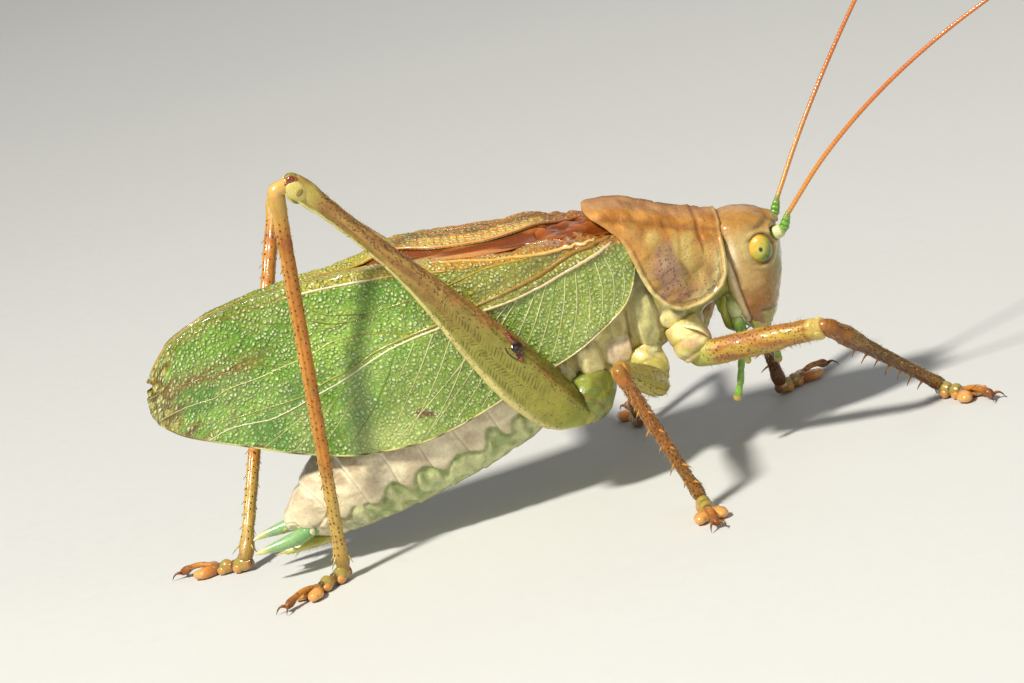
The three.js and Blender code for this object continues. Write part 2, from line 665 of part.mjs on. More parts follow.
// ---- the legs ------------------------------------------------------------------------------
const leaned = (p) => vec(p).applyAxisAngle(new THREE.Vector3(1, 0, 0), LEAN).toArray();
const bodyRoom = [...coreRoom, shieldRoom, wingRoom.left, wingRoom.right]
  .map((geometry) => geometry.clone().rotateX(LEAN));

for (const [stance, { at, swing, toe }] of Object.entries(STANCE)) {
  const [pair, name] = stance.split('_');
  const side = SIDES[name];
  const { hip: hipAt, femur, tibia, tarsus, shinSet } = LIMB[pair];
  const hip = leaned(mirrored(hipAt, side));
  const ankle = [at[0], at[1], FLOOR + ANKLE_RISE];
  const knee = kneeAt(hip, ankle, femur, tibia, swing, side);
  const thighLine = vec(knee).sub(vec(hip));
  const outward = new THREE.Vector3().crossVectors(thighLine, vec(ankle).sub(vec(hip)));
  if (outward.y * side < 0) outward.negate();

  // the coxa swells on its way out, and its narrow end reaches just into the thigh's hollow base
  const start = leaned(mirrored(COXA[pair].from, side));
  const bulge = mix(start, hip, 0.6);
  const coxaRadii = [...COXA[pair].radii, COXA[pair].radii[2] * 0.5];
  const coxa = (g) => rod([start, bulge, hip, mix(bulge, hip, 1.5)], coxaRadii, 10, g);
  place(animal, `coxa_${stance}`, clear(coxa(0), ...bodyRoom), COLOUR.coxa);

  const thigh = (g) => limb(hip, knee, outward.toArray(), THIGH[pair], 10, g);
  place(animal, `femur_${stance}`, clear(thigh(0), coxa(GAP), ...bodyRoom), COLOUR.femur);

  // the shin hangs from the back of the knee
  const shinLine = vec(ankle).sub(vec(knee)).normalize();
  const behind = thighLine.clone().projectOnPlane(shinLine).normalize();
  const shinTop = vec(knee)
    .addScaledVector(behind, shinSet[0])
    .addScaledVector(shinLine, shinSet[1])
    .toArray();
  const shin = (g) => limb(shinTop, ankle, outward.toArray(), SHIN[pair], 8, g);
  place(animal, `tibia_${stance}`, clear(shin(0), thigh(GAP)), COLOUR.tibia);
  place(animal, `tarsus_${stance}`, clear(footShape(ankle, toe, tarsus), shin(GAP)), COLOUR.tarsus);
}

// ---- stand on Z = 0, the middle of the box over the origin ---------------------------------
const box = new THREE.Box3().setFromObject(animal, true);
const middle = box.getCenter(new THREE.Vector3());
animal.position.set(-middle.x, -middle.y, -box.min.z);

const group = new THREE.Group();
group.add(animal);

export default group;
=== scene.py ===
"""A long-horned grasshopper (male bush-cricket), life size, standing on a pale floor.

Lengths are in millimetres until a mesh is made. The trunk is shaped upright in a frame of its
own (+X to the head, +Y to the animal's left) and leans with the CAD trunk; the legs are shaped
in the standing frame, which shares its origin.
"""
import math
import bpy
import numpy as np
from mathutils import Matrix, Vector


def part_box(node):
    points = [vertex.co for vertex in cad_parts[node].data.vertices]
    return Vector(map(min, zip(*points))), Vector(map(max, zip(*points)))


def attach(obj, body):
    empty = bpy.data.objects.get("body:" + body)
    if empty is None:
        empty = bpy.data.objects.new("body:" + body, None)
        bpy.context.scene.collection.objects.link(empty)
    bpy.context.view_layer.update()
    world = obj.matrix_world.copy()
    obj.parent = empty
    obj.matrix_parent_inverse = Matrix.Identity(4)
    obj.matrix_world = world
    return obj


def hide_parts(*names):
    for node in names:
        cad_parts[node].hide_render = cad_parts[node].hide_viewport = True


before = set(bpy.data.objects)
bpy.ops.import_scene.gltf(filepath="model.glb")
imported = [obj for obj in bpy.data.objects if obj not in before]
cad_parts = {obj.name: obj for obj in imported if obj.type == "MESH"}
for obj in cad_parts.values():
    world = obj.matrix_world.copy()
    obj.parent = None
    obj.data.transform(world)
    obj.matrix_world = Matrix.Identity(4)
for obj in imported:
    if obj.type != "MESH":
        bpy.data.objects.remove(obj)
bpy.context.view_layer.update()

MM = 1000  # millimetres in a metre

# ---- the two frames, worked out from where the CAD eyes are --------------------------------
EYE_AT = np.array([13.9, 1.72, 1.82])
# the half axes of the visible eye, and how far its middle is from that of the CAD eye
EYE_LOOK, EYE_SHIFT = np.array([0.63, 0.5, 0.79]), np.array([-0.12, 0.07, -0.08])


def middle(node):
    low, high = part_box(node)
    return (np.array(low) + np.array(high)) / 2 * MM


left_eye, right_eye = middle("eye_left"), middle("eye_right")
LEAN = math.atan2(left_eye[2] - right_eye[2], left_eye[1] - right_eye[1])
TILT = np.array([
    [1, 0, 0],
    [0, math.cos(LEAN), -math.sin(LEAN)],
    [0, math.sin(LEAN), math.cos(LEAN)],
])
ORIGIN = (left_eye + right_eye) / 2 - TILT @ [EYE_AT[0], 0, EYE_AT[2]]
FLOOR = -ORIGIN[2]


def leaned(points):
    return np.asarray(points, float) @ TILT.T


# ---- driving numbers shared with the CAD ---------------------------------------------------
ANKLE_RISE = 0.7
# the upright place of each hip, the lengths of the pieces, and how far the head of the shin is
# set behind the knee and down the shin
LIMB = {
    "hind": dict(hip=(2.7, 2.95, -4.0), femur=20.3, tibia=21.3, foot=5.2, shin_set=(0.95, 0.35)),
    "mid": dict(hip=(6.8, 2.2, -3.7), femur=9.0, tibia=8.3, foot=4.3, shin_set=(0.35, 0)),
    "fore": dict(hip=(9.3, 2.0, -2.9), femur=7.0, tibia=8.9, foot=4.3, shin_set=(0.3, 0)),
}
# where each ankle stands, how many degrees the knee swings outward, and where the foot points
STANCE = {
    "hind_right": dict(at=(-11.75, -3.3), swing=7, toe=(-3.9, -3.4)),
    "hind_left": dict(at=(-17.0, 3.5), swing=36.4, toe=(-4.3, 2.6)),
    "mid_right": dict(at=(7.1, -8.9), swing=18, toe=(0.3, -4.3)),
    "mid_left": dict(at=(5.6, 9.6), swing=0, toe=(-0.4, 4.3)),
    "fore_right": dict(at=(21.15, -1.1), swing=50, toe=(2.4, -3.6)),
    "fore_left": dict(at=(13.5, 8.0), swing=3, toe=(3.2, 2.9)),
}
SIDES = {"left": 1, "right": -1}
# the seeds of the random draws; waves() takes its own, a different one for each field
SEEDS = dict(
    trunk_hairs=19, head_hairs=31, shield_hairs=45, cross_veins=60, cercus_hairs=70, plate_hairs=72,
    foot_hairs=80, leg_hairs=90, thigh_ticks=95, scar=96, thigh_dots=97, thigh_low_dots=98,
)


# ---- colours -------------------------------------------------------------------------------
def rgb(red, green, blue):
    c = np.array([red, green, blue]) / 255
    return np.where(c <= 0.04045, c / 12.92, ((c + 0.055) / 1.055) ** 2.4)


WHITE = rgb(238, 232, 206)
HAIR = rgb(222, 204, 160)
HAIR_WIDTH, HAIR_ROOT = 0.006, 0.02  # half width, and how deep a hair starts


# ---- curves and fields ---------------------------------------------------------------------
def smooth(low, high, x):
    t = np.clip((np.asarray(x, float) - low) / (high - low), 0, 1)
    return t * t * (3 - 2 * t)


def hump(x, centre, width):
    return np.exp(-((np.asarray(x, float) - centre) / width) ** 2)


def mixed(a, b, weight):
    weight = np.clip(np.asarray(weight, float), 0, 1)[..., None]
    return np.asarray(a) * (1 - weight) + np.asarray(b) * weight


def washed(tint, washes):
    """The tint under thin washes of colour, each a row of red, green, blue and weight."""
    for *colour, weight in washes:
        tint = mixed(tint, rgb(*colour), weight)
    return tint


def along(rows, t):
    """The values of a table at t, smooth and without overshoot; its first column is t."""
    rows = np.array(rows, float)
    rows = rows if rows[-1, 0] > rows[0, 0] else rows[::-1]
    x, y = rows[:, 0], rows[:, 1:]
    rate = np.diff(y, axis=0) / np.diff(x)[:, None]
    before, after = rate[:-1], rate[1:]
    total = np.where(before + after == 0, 1, before + after)
    inner = np.where(before * after > 0, 2 * before * after / total, 0)
    slope = np.vstack([rate[:1], inner, rate[-1:]])
    t = np.clip(np.asarray(t, float), x[0], x[-1])
    k = np.clip(np.searchsorted(x, t, side="right") - 1, 0, len(x) - 2)
    h = (x[k + 1] - x[k])[..., None]
    u = (t - x[k])[..., None] / h
    d, m0, m1 = y[k + 1] - y[k], slope[k] * h, slope[k + 1] * h
    return y[k] + u * m0 + u * u * (3 * d - 2 * m0 - m1) + u**3 * (m0 + m1 - 2 * d)


def through(points, t):
    """The smooth line through evenly spaced points, from t = 0 at the first to 1 at the last."""
    return along([[k / (len(points) - 1), *point] for k, point in enumerate(points)], t)


def resampled(points, t):
    """Points at shares t of the length of a smooth line through the given points."""
    points = np.array(points, float)
    lengths = np.concatenate([[0], np.cumsum(np.linalg.norm(np.diff(points, axis=0), axis=1))])
    return along(np.column_stack([lengths / lengths[-1], points]), t)


def waves(points, size, seed):
    """A smooth irregular field between about -1 and 1, its lumps about `size` across."""
    draw = np.random.default_rng(seed)
    total, trains, spread = np.zeros(points.shape[:-1]), 14, 3.8
    for _ in range(trains):
        way = draw.normal(size=3)
        way *= draw.uniform(0.6, 1.5) / np.linalg.norm(way) * math.pi / size
        total += np.sin(points @ way + draw.uniform(0, 2 * math.pi))
    return total / spread


def unit(v):
    v = np.asarray(v, float)
    return v / np.maximum(np.linalg.norm(v, axis=-1, keepdims=True), 1e-12)


def squared(c, e):
    return np.sign(c) * np.abs(c) ** (2 / e)


def around(n):
    return np.linspace(0, 2 * math.pi, n, endpoint=False)


def outward_of(grid):
    """Unit normals of a grid that closes round its second axis, facing out of its rings."""
    down = np.gradient(grid, axis=0)
    across = np.roll(grid, -1, axis=1) - np.roll(grid, 1, axis=1)
    normal = unit(np.cross(across, down))
    out = grid - grid.mean(axis=1, keepdims=True)
    return normal if (normal * out).sum() > 0 else -normal


def sheet_normals(grid):
    return unit(np.cross(np.gradient(grid, axis=1), np.gradient(grid, axis=0)))


def run_of(grid, axis):
    """The mean distance run along one axis of a grid of points."""
    steps = np.linalg.norm(np.diff(grid, axis=axis), axis=-1).mean(axis=1 - axis)
    return np.concatenate([[0], np.cumsum(np.maximum(steps, 1e-6))])


def chart_quads(u, v):
    """The corners on the bake map of a grid of quads, in the order of their faces."""
    u, v = np.meshgrid(u, v)
    grid = np.stack([u, v], axis=-1)
    cells = np.stack([grid[:-1, :-1], grid[:-1, 1:], grid[1:, 1:], grid[1:, :-1]], axis=2)
    return cells.reshape(-1, 4, 2)


def chart_corners(*corners):
    """The corners on the bake map of a row of faces, each corner as its us and their one v."""
    return np.stack([np.stack([u, np.full(len(u), float(v))], axis=-1) for u, v in corners], axis=1)


def packed(sizes):
    """Places for rectangles on shelves in the unit square, as large as will fit: x, y, w, h."""
    gap, least, halvings = 0.0016, 0.003, 22
    order = np.argsort(-sizes[:, 1], kind="stable")
    low, high, best = 0.0, 4.0 / sizes.max(), None
    for _ in range(halvings):
        scale = (low + high) / 2
        wide = np.clip(sizes * scale, least, 1 - 2 * gap)
        x = y = tall = 0.0
        spots = np.zeros((len(sizes), 4))
        for k in order:
            w, h = wide[k]
            if x + w + gap > 1:
                x, y, tall = 0.0, y + tall, 0.0
            spots[k] = x + gap / 2, y + gap / 2, w, h
            x, tall = x + w + gap, max(tall, h + gap)
        if y + tall <= 1:
            low, best = scale, spots
        else:
            high = scale
    return best


# ---- meshes --------------------------------------------------------------------------------
class Clay:
    """Closed shells joined into one piece.

    Each vertex has a tint, a mark (how many dots it has, or how strongly its cells show) and a
    grain (the place where its textures are read); each face has a kind, which is its material
    slot, and a place on the bake map.
    """

    def __init__(self):
        self.points, self.tints, self.marks, self.grains = [], [], [], []
        self.faces, self.kinds, self.count = [], [], 0
        self.sizes, self.corners, self.charts = [], [], []

    def add(self, points, faces, charts, tint, mark=0.0, grain=None, kind=0):
        """One closed shell; its faces are turned round if its volume shows that they face inward."""
        points = np.asarray(points, float).reshape(-1, 3)
        n = len(points)
        tint = np.broadcast_to(np.asarray(tint, float).reshape(-1, 3), (n, 3))
        self.points.append(points)
        self.tints.append(tint)
        self.marks.append(np.broadcast_to(np.asarray(mark, float).reshape(-1), (n,)))
        self.grains.append(points if grain is None else np.asarray(grain, float).reshape(-1, 3))
        first = points[[f[0] for f in faces]]
        volume = 0.0
        for k in range(1, 3):
            a = points[[f[k] for f in faces]]
            b = points[[f[min(k + 1, len(f) - 1)] for f in faces]]
            volume += np.einsum("ij,ij->i", first, np.cross(a, b)).sum()
        turned = volume <= 0
        faces = [f[::-1] for f in faces] if turned else faces
        for width, height, blocks in charts:
            for block in blocks:
                corners = block[:, ::-1] if turned else block
                self.corners.append(corners.reshape(-1, 2))
                self.charts.append(np.full(len(self.corners[-1]), len(self.sizes)))
            self.sizes.append((width, height))
        self.faces += [tuple(i + self.count for i in f) for f in faces]
        self.kinds += [kind] * len(faces)
        self.count += n

    def skin(self, grid, tint, mark=0.0, ends=(0.0, 0.0), kind=0, grain=None,
             caps=(12, 25, 38, 50, 62, 74, 85)):
        """A closed skin over rings, with a dome of the given height over each end.

        `caps` says where the rings of a dome are, in degrees up from its foot.
        """
        rows, n = grid.shape[:2]
        tint = np.broadcast_to(tint, grid.shape)
        mark = np.broadcast_to(mark, (rows, n))
        grain = grid if grain is None else grain
        stack, tints, marks, grains = [grid], [tint], [mark], [grain]
        for end, height in enumerate(ends if caps else ()):
            at = -end
            centre = grid[at].mean(axis=0)
            step = centre - grid[1 if end == 0 else -2].mean(axis=0)
            rings = []
            for angle in np.radians(caps):
                ring = centre + (grid[at] - centre) * math.cos(angle)
                rings.append(ring + unit(step) * height * math.sin(angle))
            rings = np.array(rings if end else rings[::-1])
            extra = [rings] + [np.repeat(kept[at][None], len(caps), 0) for kept in (tint, mark, grain)]
            for pile, more in zip((stack, tints, marks, grains), extra):
                pile.insert(len(pile) if end else 0, more)
        points, tint = np.concatenate(stack), np.concatenate(tints)
        mark, grain = np.concatenate(marks), np.concatenate(grains)
        rows = len(points)
        poles = [points[0].mean(axis=0), points[-1].mean(axis=0)]
        a = np.arange(rows - 1)[:, None] * n + np.arange(n)
        b = np.arange(rows - 1)[:, None] * n + (np.arange(n) + 1) % n
        faces = np.stack([a, b, b + n, a + n], axis=-1).reshape(-1, 4).tolist()
        size, last = rows * n, (rows - 1) * n
        for i in range(n):
            j = (i + 1) % n
            faces += [(size, j, i), (size + 1, last + i, last + j)]
        # the chart: the skin rolled out flat, with half a step over each pole
        u = run_of(np.concatenate([points, points[:, :1]], axis=1), 1)
        v = run_of(np.concatenate([0 * points[:1] + poles[0], points, 0 * points[:1] + poles[1]]), 0)
        width, height = u[-1], v[-1]
        u, v = u / max(width, 1e-9), v / max(height, 1e-9)
        quads = chart_quads(u, v[1:-1])
        half = (u[1:] + u[:-1]) / 2
        first = chart_corners((half, v[0]), (u[1:], v[1]), (u[:-1], v[1]))
        end = chart_corners((half, v[-1]), (u[:-1], v[-2]), (u[1:], v[-2]))
        fans = np.stack([first, end], axis=1).reshape(-1, 3, 2)
        self.add(
            np.vstack([points.reshape(-1, 3), poles]),
            faces,
            [(width, height, [quads, fans])],
            np.vstack([tint.reshape(-1, 3), tint[0].mean(axis=0), tint[-1].mean(axis=0)]),
            np.append(mark.reshape(-1), [mark[0].mean(), mark[-1].mean()]),
            np.vstack([grain.reshape(-1, 3), grain[0].mean(axis=0), grain[-1].mean(axis=0)]),
            kind,
        )

    def sheet(self, grid, normal, thickness, tint, mark=0.0, grain=None, kind=0, under=None):
        """A closed sheet: the grid is its outer face, and the inner face lies `thickness` in."""
        rows, n = grid.shape[:2]
        size = rows * n
        inner = grid - normal * np.broadcast_to(thickness, (rows, n))[..., None]
        tint = np.broadcast_to(tint, grid.shape)
        below = tint if under is None else np.broadcast_to(under, grid.shape)
        mark = np.broadcast_to(mark, (rows, n))
        grain = grid if grain is None else grain
        cells = (np.arange(rows - 1)[:, None] * n + np.arange(n - 1)).reshape(-1)
        faces = np.stack([cells, cells + 1, cells + n + 1, cells + n], axis=-1)
        back = faces[:, ::-1] + size
        rim = list(range(n)) + [r * n + n - 1 for r in range(1, rows)]
        rim += [size - 1 - i for i in range(1, n)] + [r * n for r in range(rows - 2, 0, -1)]
        rim = np.array(rim)
        after = np.roll(rim, -1)
        wall = np.stack([rim, rim + size, after + size, after], axis=-1)
        # three charts: the outer face, the inner face and the strip between them
        u, v = run_of(grid, 1), run_of(grid, 0)
        width, height = u[-1], v[-1]
        front = chart_quads(u / width, v / height)
        strip = np.arange(len(rim) + 1) / len(rim)
        edge = chart_corners((strip[:-1], 0), (strip[:-1], 1), (strip[1:], 1), (strip[1:], 0))
        charts = [(width, height, [front]), (width * 0.5, height * 0.5, [front[:, ::-1]]),
                  (2 * (width + height), float(np.mean(thickness)), [edge])]
        self.add(
            np.vstack([grid.reshape(-1, 3), inner.reshape(-1, 3)]),
            np.vstack([faces, back, wall]).tolist(),
            charts,
            np.vstack([tint.reshape(-1, 3), below.reshape(-1, 3)]),
            np.concatenate([mark.reshape(-1)] * 2),
            np.vstack([grain.reshape(-1, 3)] * 2),
            kind,
        )

    def rod(self, path, radii, tint, sides=10, mark=0.0, flat=1.0, across=None, kind=0, caps=(30, 62)):
        """A round rod with domed ends; `flat` thins it square to `across`."""
        path = np.asarray(path, float)
        radii = np.broadcast_to(np.asarray(radii, float), (len(path),))
        way = unit(np.gradient(path, axis=0))
        side = np.array([0.1, 1, 0.2] if across is None else across, float)
        angle = around(sides)
        rings = []
        for p, w, r in zip(path, way, radii):
            side = unit(side - w * (side @ w))
            up = np.cross(w, side)
            rings.append(p + r * (np.cos(angle)[:, None] * side + flat * np.sin(angle)[:, None] * up))
        tint = np.asarray(tint, float)
        tint = tint[:, None] if tint.ndim == 2 else tint
        self.skin(np.array(rings), tint, mark, ends=(radii[0], radii[-1]), kind=kind, caps=caps)

    def ball(self, centre, axes, tint, mark=0.0, rows=14, sides=20, kind=0):
        """An ellipsoid; `axes` are its three half axes as vectors, the first through its poles."""
        polar = np.linspace(0, math.pi, rows + 2)[1:-1, None]
        angle = around(sides)[None]
        a, b, c = (np.asarray(v, float) for v in axes)
        grid = np.cos(polar)[..., None] * a
        grid = grid + (np.sin(polar) * np.cos(angle))[..., None] * b
        grid = grid + (np.sin(polar) * np.sin(angle))[..., None] * c + np.asarray(centre)
        self.skin(grid, tint, mark, kind=kind, caps=())

    def spike(self, base, tip, radius, root, point, bend=(0, 0, 0), sides=6):
        """A tapered spine from base to tip, darker toward its point."""
        t = np.array([0, 0.25, 0.5, 0.75, 0.93, 1.0])[:, None]
        base, tip = np.asarray(base, float), np.asarray(tip, float)
        path = base + (tip - base) * t + np.asarray(bend, float) * t * (1 - t) * 4
        taper = radius * np.array([1, 0.78, 0.56, 0.36, 0.16, 0.06])
        self.rod(path, taper, mixed(root, point, smooth(0.45, 0.9, t[:, 0])), sides, caps=())

    def hair(self, start, way, tone=HAIR, width=HAIR_WIDTH, tip=None, bend=(0, 0, 0)):
        """A fine hair from its start along `way`."""
        self.spike(start, start + way, width, tone, tone if tip is None else tip, bend, sides=3)

    def bristles(self, grid, out, seed, count, rows, columns, lift, drift, stray, lengths,
                 bare=None, tone=HAIR):
        """Hairs scattered over a part of a grid, apart from the places that are bare."""
        draw = np.random.default_rng(seed)
        for _ in range(count):
            r, c = draw.integers(*rows), draw.integers(*columns)
            if bare and bare(r, c, draw):
                continue
            way = unit(out[r, c] * lift + drift + draw.normal(0, stray, 3))
            start = grid[r, c] - HAIR_ROOT * out[r, c]
            self.hair(start, way * draw.uniform(*lengths), tone)

    def piece(self, name, materials, replaces, turn=None):
        """The finished object in metres in the CAD frame; `turn` leans trunk shapes."""
        points = np.vstack(self.points)
        points = (points if turn is None else points @ turn.T) + ORIGIN
        mesh = bpy.data.meshes.new(name)
        mesh.from_pydata((points / MM).tolist(), [], self.faces)
        for material in materials:
            mesh.materials.append(material)
        mesh.polygons.foreach_set("material_index", self.kinds)
        mesh.shade_smooth()
        tint = mesh.attributes.new("tint", "FLOAT_COLOR", "POINT")
        rows = np.hstack([np.vstack(self.tints), np.ones((self.count, 1))])
        tint.data.foreach_set("color", rows.astype(np.float32).ravel())
        mark = mesh.attributes.new("mark", "FLOAT", "POINT")
        mark.data.foreach_set("value", np.concatenate(self.marks).astype(np.float32))
        grain = mesh.attributes.new("grain", "FLOAT_VECTOR", "POINT")
        grain.data.foreach_set("vector", np.vstack(self.grains).astype(np.float32).ravel())
        spots = packed(np.array(self.sizes))[np.concatenate(self.charts)]
        corners = spots[:, :2] + spots[:, 2:] * np.vstack(self.corners)
        mesh.uv_layers.new(name="OFBake").data.foreach_set("uv", corners.astype(np.float32).ravel())
        made = bpy.data.objects.new(name, mesh)
        bpy.context.scene.collection.objects.link(made)
        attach(made, "root")
        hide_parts(*replaces)
        return made


# ---- materials -----------------------------------------------------------------------------
class Paint:
    """A node material in the making: each call adds nodes and returns the socket they end in."""

    def __init__(self, name):
        self.material = bpy.data.materials.new(name)
        self.material.use_nodes = True
        self.tree = self.material.node_tree
        self.tree.nodes.clear()
        self.output = self.tree.nodes.new("ShaderNodeOutputMaterial")

    def node(self, kind, sockets=None, **settings):
        made = self.tree.nodes.new(kind)
        for key, value in settings.items():
            setattr(made, key, value)
        for key, value in (sockets or {}).items():
            if isinstance(value, bpy.types.NodeSocket):
                self.tree.links.new(value, made.inputs[key])
            else:
                made.inputs[key].default_value = value
        return made

    def read(self, name, output="Color"):
        return self.node("ShaderNodeAttribute", attribute_name=name).outputs[output]

    def maths(self, operation, a, b, clamp=False):
        made = self.node("ShaderNodeMath", {0: a, 1: b}, operation=operation, use_clamp=clamp)
        return made.outputs[0]

    def times(self, a, b, clamp=False):
        return self.maths("MULTIPLY", a, b, clamp)

    def vector(self, operation, a, b):
        return self.node("ShaderNodeVectorMath", {0: a, 1: b}, operation=operation).outputs[0]

    def chosen(self, cell):
        """A number between 0 and 1 for each cell."""
        return self.node("ShaderNodeSeparateColor", {0: cell.outputs["Color"]}).outputs[0]

    def mix(self, weight, a, b, blend="MIX"):
        a = a if isinstance(a, bpy.types.NodeSocket) else (*a, 1)
        b = b if isinstance(b, bpy.types.NodeSocket) else (*b, 1)
        sockets = {0: weight, 6: a, 7: b}
        made = self.node("ShaderNodeMix", sockets, data_type="RGBA", blend_type=blend)
        return made.outputs[2]

    def step(self, value, low, high, out_low=0.0, out_high=1.0):
        sockets = {0: value, 1: low, 2: high, 3: out_low, 4: out_high}
        made = self.node("ShaderNodeMapRange", sockets, interpolation_type="SMOOTHSTEP")
        return made.outputs[0]

    def noise(self, vector, scale, detail=3.0, roughness=0.55):
        sockets = {"Vector": vector, "Scale": scale, "Detail": detail, "Roughness": roughness}
        return self.node("ShaderNodeTexNoise", sockets).outputs["Fac"]

    def cells(self, vector, scale, feature="F1", randomness=1.0):
        sockets = {"Vector": vector, "Scale": scale, "Randomness": randomness}
        return self.node("ShaderNodeTexVoronoi", sockets, feature=feature)

    def bump(self, height, depth_mm):
        sockets = {"Height": height, "Strength": 1.0, "Distance": depth_mm / MM}
        return self.node("ShaderNodeBump", sockets).outputs["Normal"]

    def finish(self, **sockets):
        shader = self.node("ShaderNodeBsdfPrincipled", sockets)
        self.tree.links.new(shader.outputs[0], self.output.inputs[0])
        return self.material


def freckles(paint, place, per_mm, size, share):
    """Round dots on `share` of the cells of a scattered grid, larger where `mark` is high."""
    cell = paint.cells(place, per_mm)
    chosen = paint.chosen(cell)
    reach = paint.times(paint.read("mark", "Fac"), size)
    gap = paint.maths("SUBTRACT", cell.outputs["Distance"], reach)
    dot = paint.step(gap, 0.04, -0.08)
    return paint.times(dot, paint.step(chosen, 1 - share, 1 - share + 0.08))


def cuticle(name, dots=(8.0, 0.34, 0.5), dot_colour=(104, 60, 44), rough=0.34, lumps=0.012,
            veil=0.16, glow=0.08, coat=0.35, cast=(1.0, 1.0, 1.0), shine=0.34):
    """Insect skin: the piece's own tint, clouded, finely grained, dotted where `mark` says."""
    paint = Paint(name)
    place = paint.read("grain", "Vector")
    tint = paint.mix(1.0, paint.read("tint"), cast, "MULTIPLY")
    broad = paint.noise(place, 1.1, 4)
    fine = paint.noise(place, 7.0, 4, 0.65)
    cloud = paint.mix(paint.step(broad, 0.3, 0.7), (0.74, 0.68, 0.58), (1.2, 1.19, 1.12))
    colour = paint.mix(veil * 2.2, tint, cloud, "MULTIPLY")
    speck = paint.mix(paint.step(fine, 0.35, 0.68), (0.8, 0.76, 0.7), (1.16, 1.15, 1.12))
    colour = paint.mix(veil * 2.6, colour, speck, "MULTIPLY")
    dot = freckles(paint, place, *dots)
    colour = paint.mix(paint.times(dot, 0.72), colour, rgb(*dot_colour))
    pits = paint.cells(place, 9.0, "SMOOTH_F1").outputs["Distance"]
    height = paint.maths("ADD", paint.times(fine, 0.7), paint.times(pits, 0.5))
    height = paint.maths("SUBTRACT", height, paint.times(dot, 0.35))
    return paint.finish(**{
        "Base Color": colour,
        "Roughness": paint.step(paint.noise(place, 3.2), 0.3, 0.7, rough - 0.07, rough + 0.13),
        "Subsurface Weight": glow,
        "Subsurface Scale": 0.0005,
        "Subsurface Radius": (1.0, 0.85, 0.5),
        "Specular IOR Level": shine,
        "Coat Weight": coat,
        "Coat Roughness": 0.11,
        "Normal": paint.bump(height, lumps * 2.2),
    })


# ---- the trunk: prothorax, thorax and abdomen under one skin, with the hip joints -----------
# upright sections, [x, half width, top z, bottom z, squareness]
TAIL_X, WAIST_X, NECK_X, SEGMENTS = -13.9, 1.45, 11.6, 8
TRUNK = [
    [TAIL_X, 0.86, -5.5, -6.6, 2.1],
    [-12.9, 1.5, -4.25, -7.2, 2.1],
    [-11.5, 1.9, -2.9, -7.55, 2.1],
    [-9.5, 2.2, -1.8, -7.4, 2.1],
    [-6, 2.35, -0.6, -6.85, 2.1],
    [-2, 2.35, 0.85, -5.85, 2.1],
    [1.4, 2.3, 2.85, -4.55, 2.2],
    [3.5, 2.25, 4.1, -3.65, 2.3],
    [6, 2.12, 4.5, -3.15, 2.4],
    [7.05, 2.0, 4.65, -2.6, 2.5],
    [8.2, 1.98, 4.6, -2.15, 2.5],
    [9.4, 1.95, 4.1, -1.65, 2.5],
    [10.5, 1.8, 3.65, -0.85, 2.4],
    [NECK_X, 1.6, 3.25, -0.65, 2.3],
]
# side plates of the thorax, [x, z, half length, half height, lean, rise, colour]
PLATES = [
    [3.6, -1.55, 0.66, 1.05, -0.1, 0.46, (240, 230, 176)],
    [5.2, -1.45, 0.74, 0.74, 0.08, 0.36, (234, 212, 186)],
    [5.5, 0.25, 0.42, 1.05, 0.1, 0.2, (196, 186, 132)],
    [7.02, -0.35, 0.56, 1.75, 0.02, 0.4, (210, 208, 150)],
    [6.82, -2.0, 0.62, 0.4, 0.1, 0.34, (222, 226, 164)],
    [4.35, 0.55, 0.42, 0.95, 0.12, 0.2, (190, 190, 120)],
    [8.45, -0.62, 0.72, 0.46, -0.2, 0.34, (232, 224, 164)],
    [2.3, -2.2, 0.5, 0.8, -0.2, 0.2, (206, 206, 150)],
]
# the hip joints: where each starts in the trunk, and its radii at the start, middle and end
COXA = {
    "fore": dict(start=(8.72, 1.38, -1.15), radii=(1.02, 1.08, 0.78)),
    "mid": dict(start=(6.4, 1.2, -2.1), radii=(1.02, 1.0, 0.6)),
    "hind": dict(start=(3.5, 1.3, -2.9), radii=(1.32, 1.27, 0.82)),
}


def barrel(rows, xs, angles):
    w, top, bottom, e = np.moveaxis(along(rows, xs), -1, 0)[..., None]
    grid = np.zeros((len(xs), len(angles), 3))
    grid[..., 0] = np.asarray(xs)[:, None]
    grid[..., 1] = w * squared(np.cos(angles), e)
    grid[..., 2] = (top + bottom) / 2 + (top - bottom) / 2 * squared(np.sin(angles), e)
    return grid


def mirrored(p, side):
    return np.array([p[0], side * p[1], p[2]])


def hip_of(stance):
    pair, name = stance.split("_")
    return leaned(mirrored(LIMB[pair]["hip"], SIDES[name]))


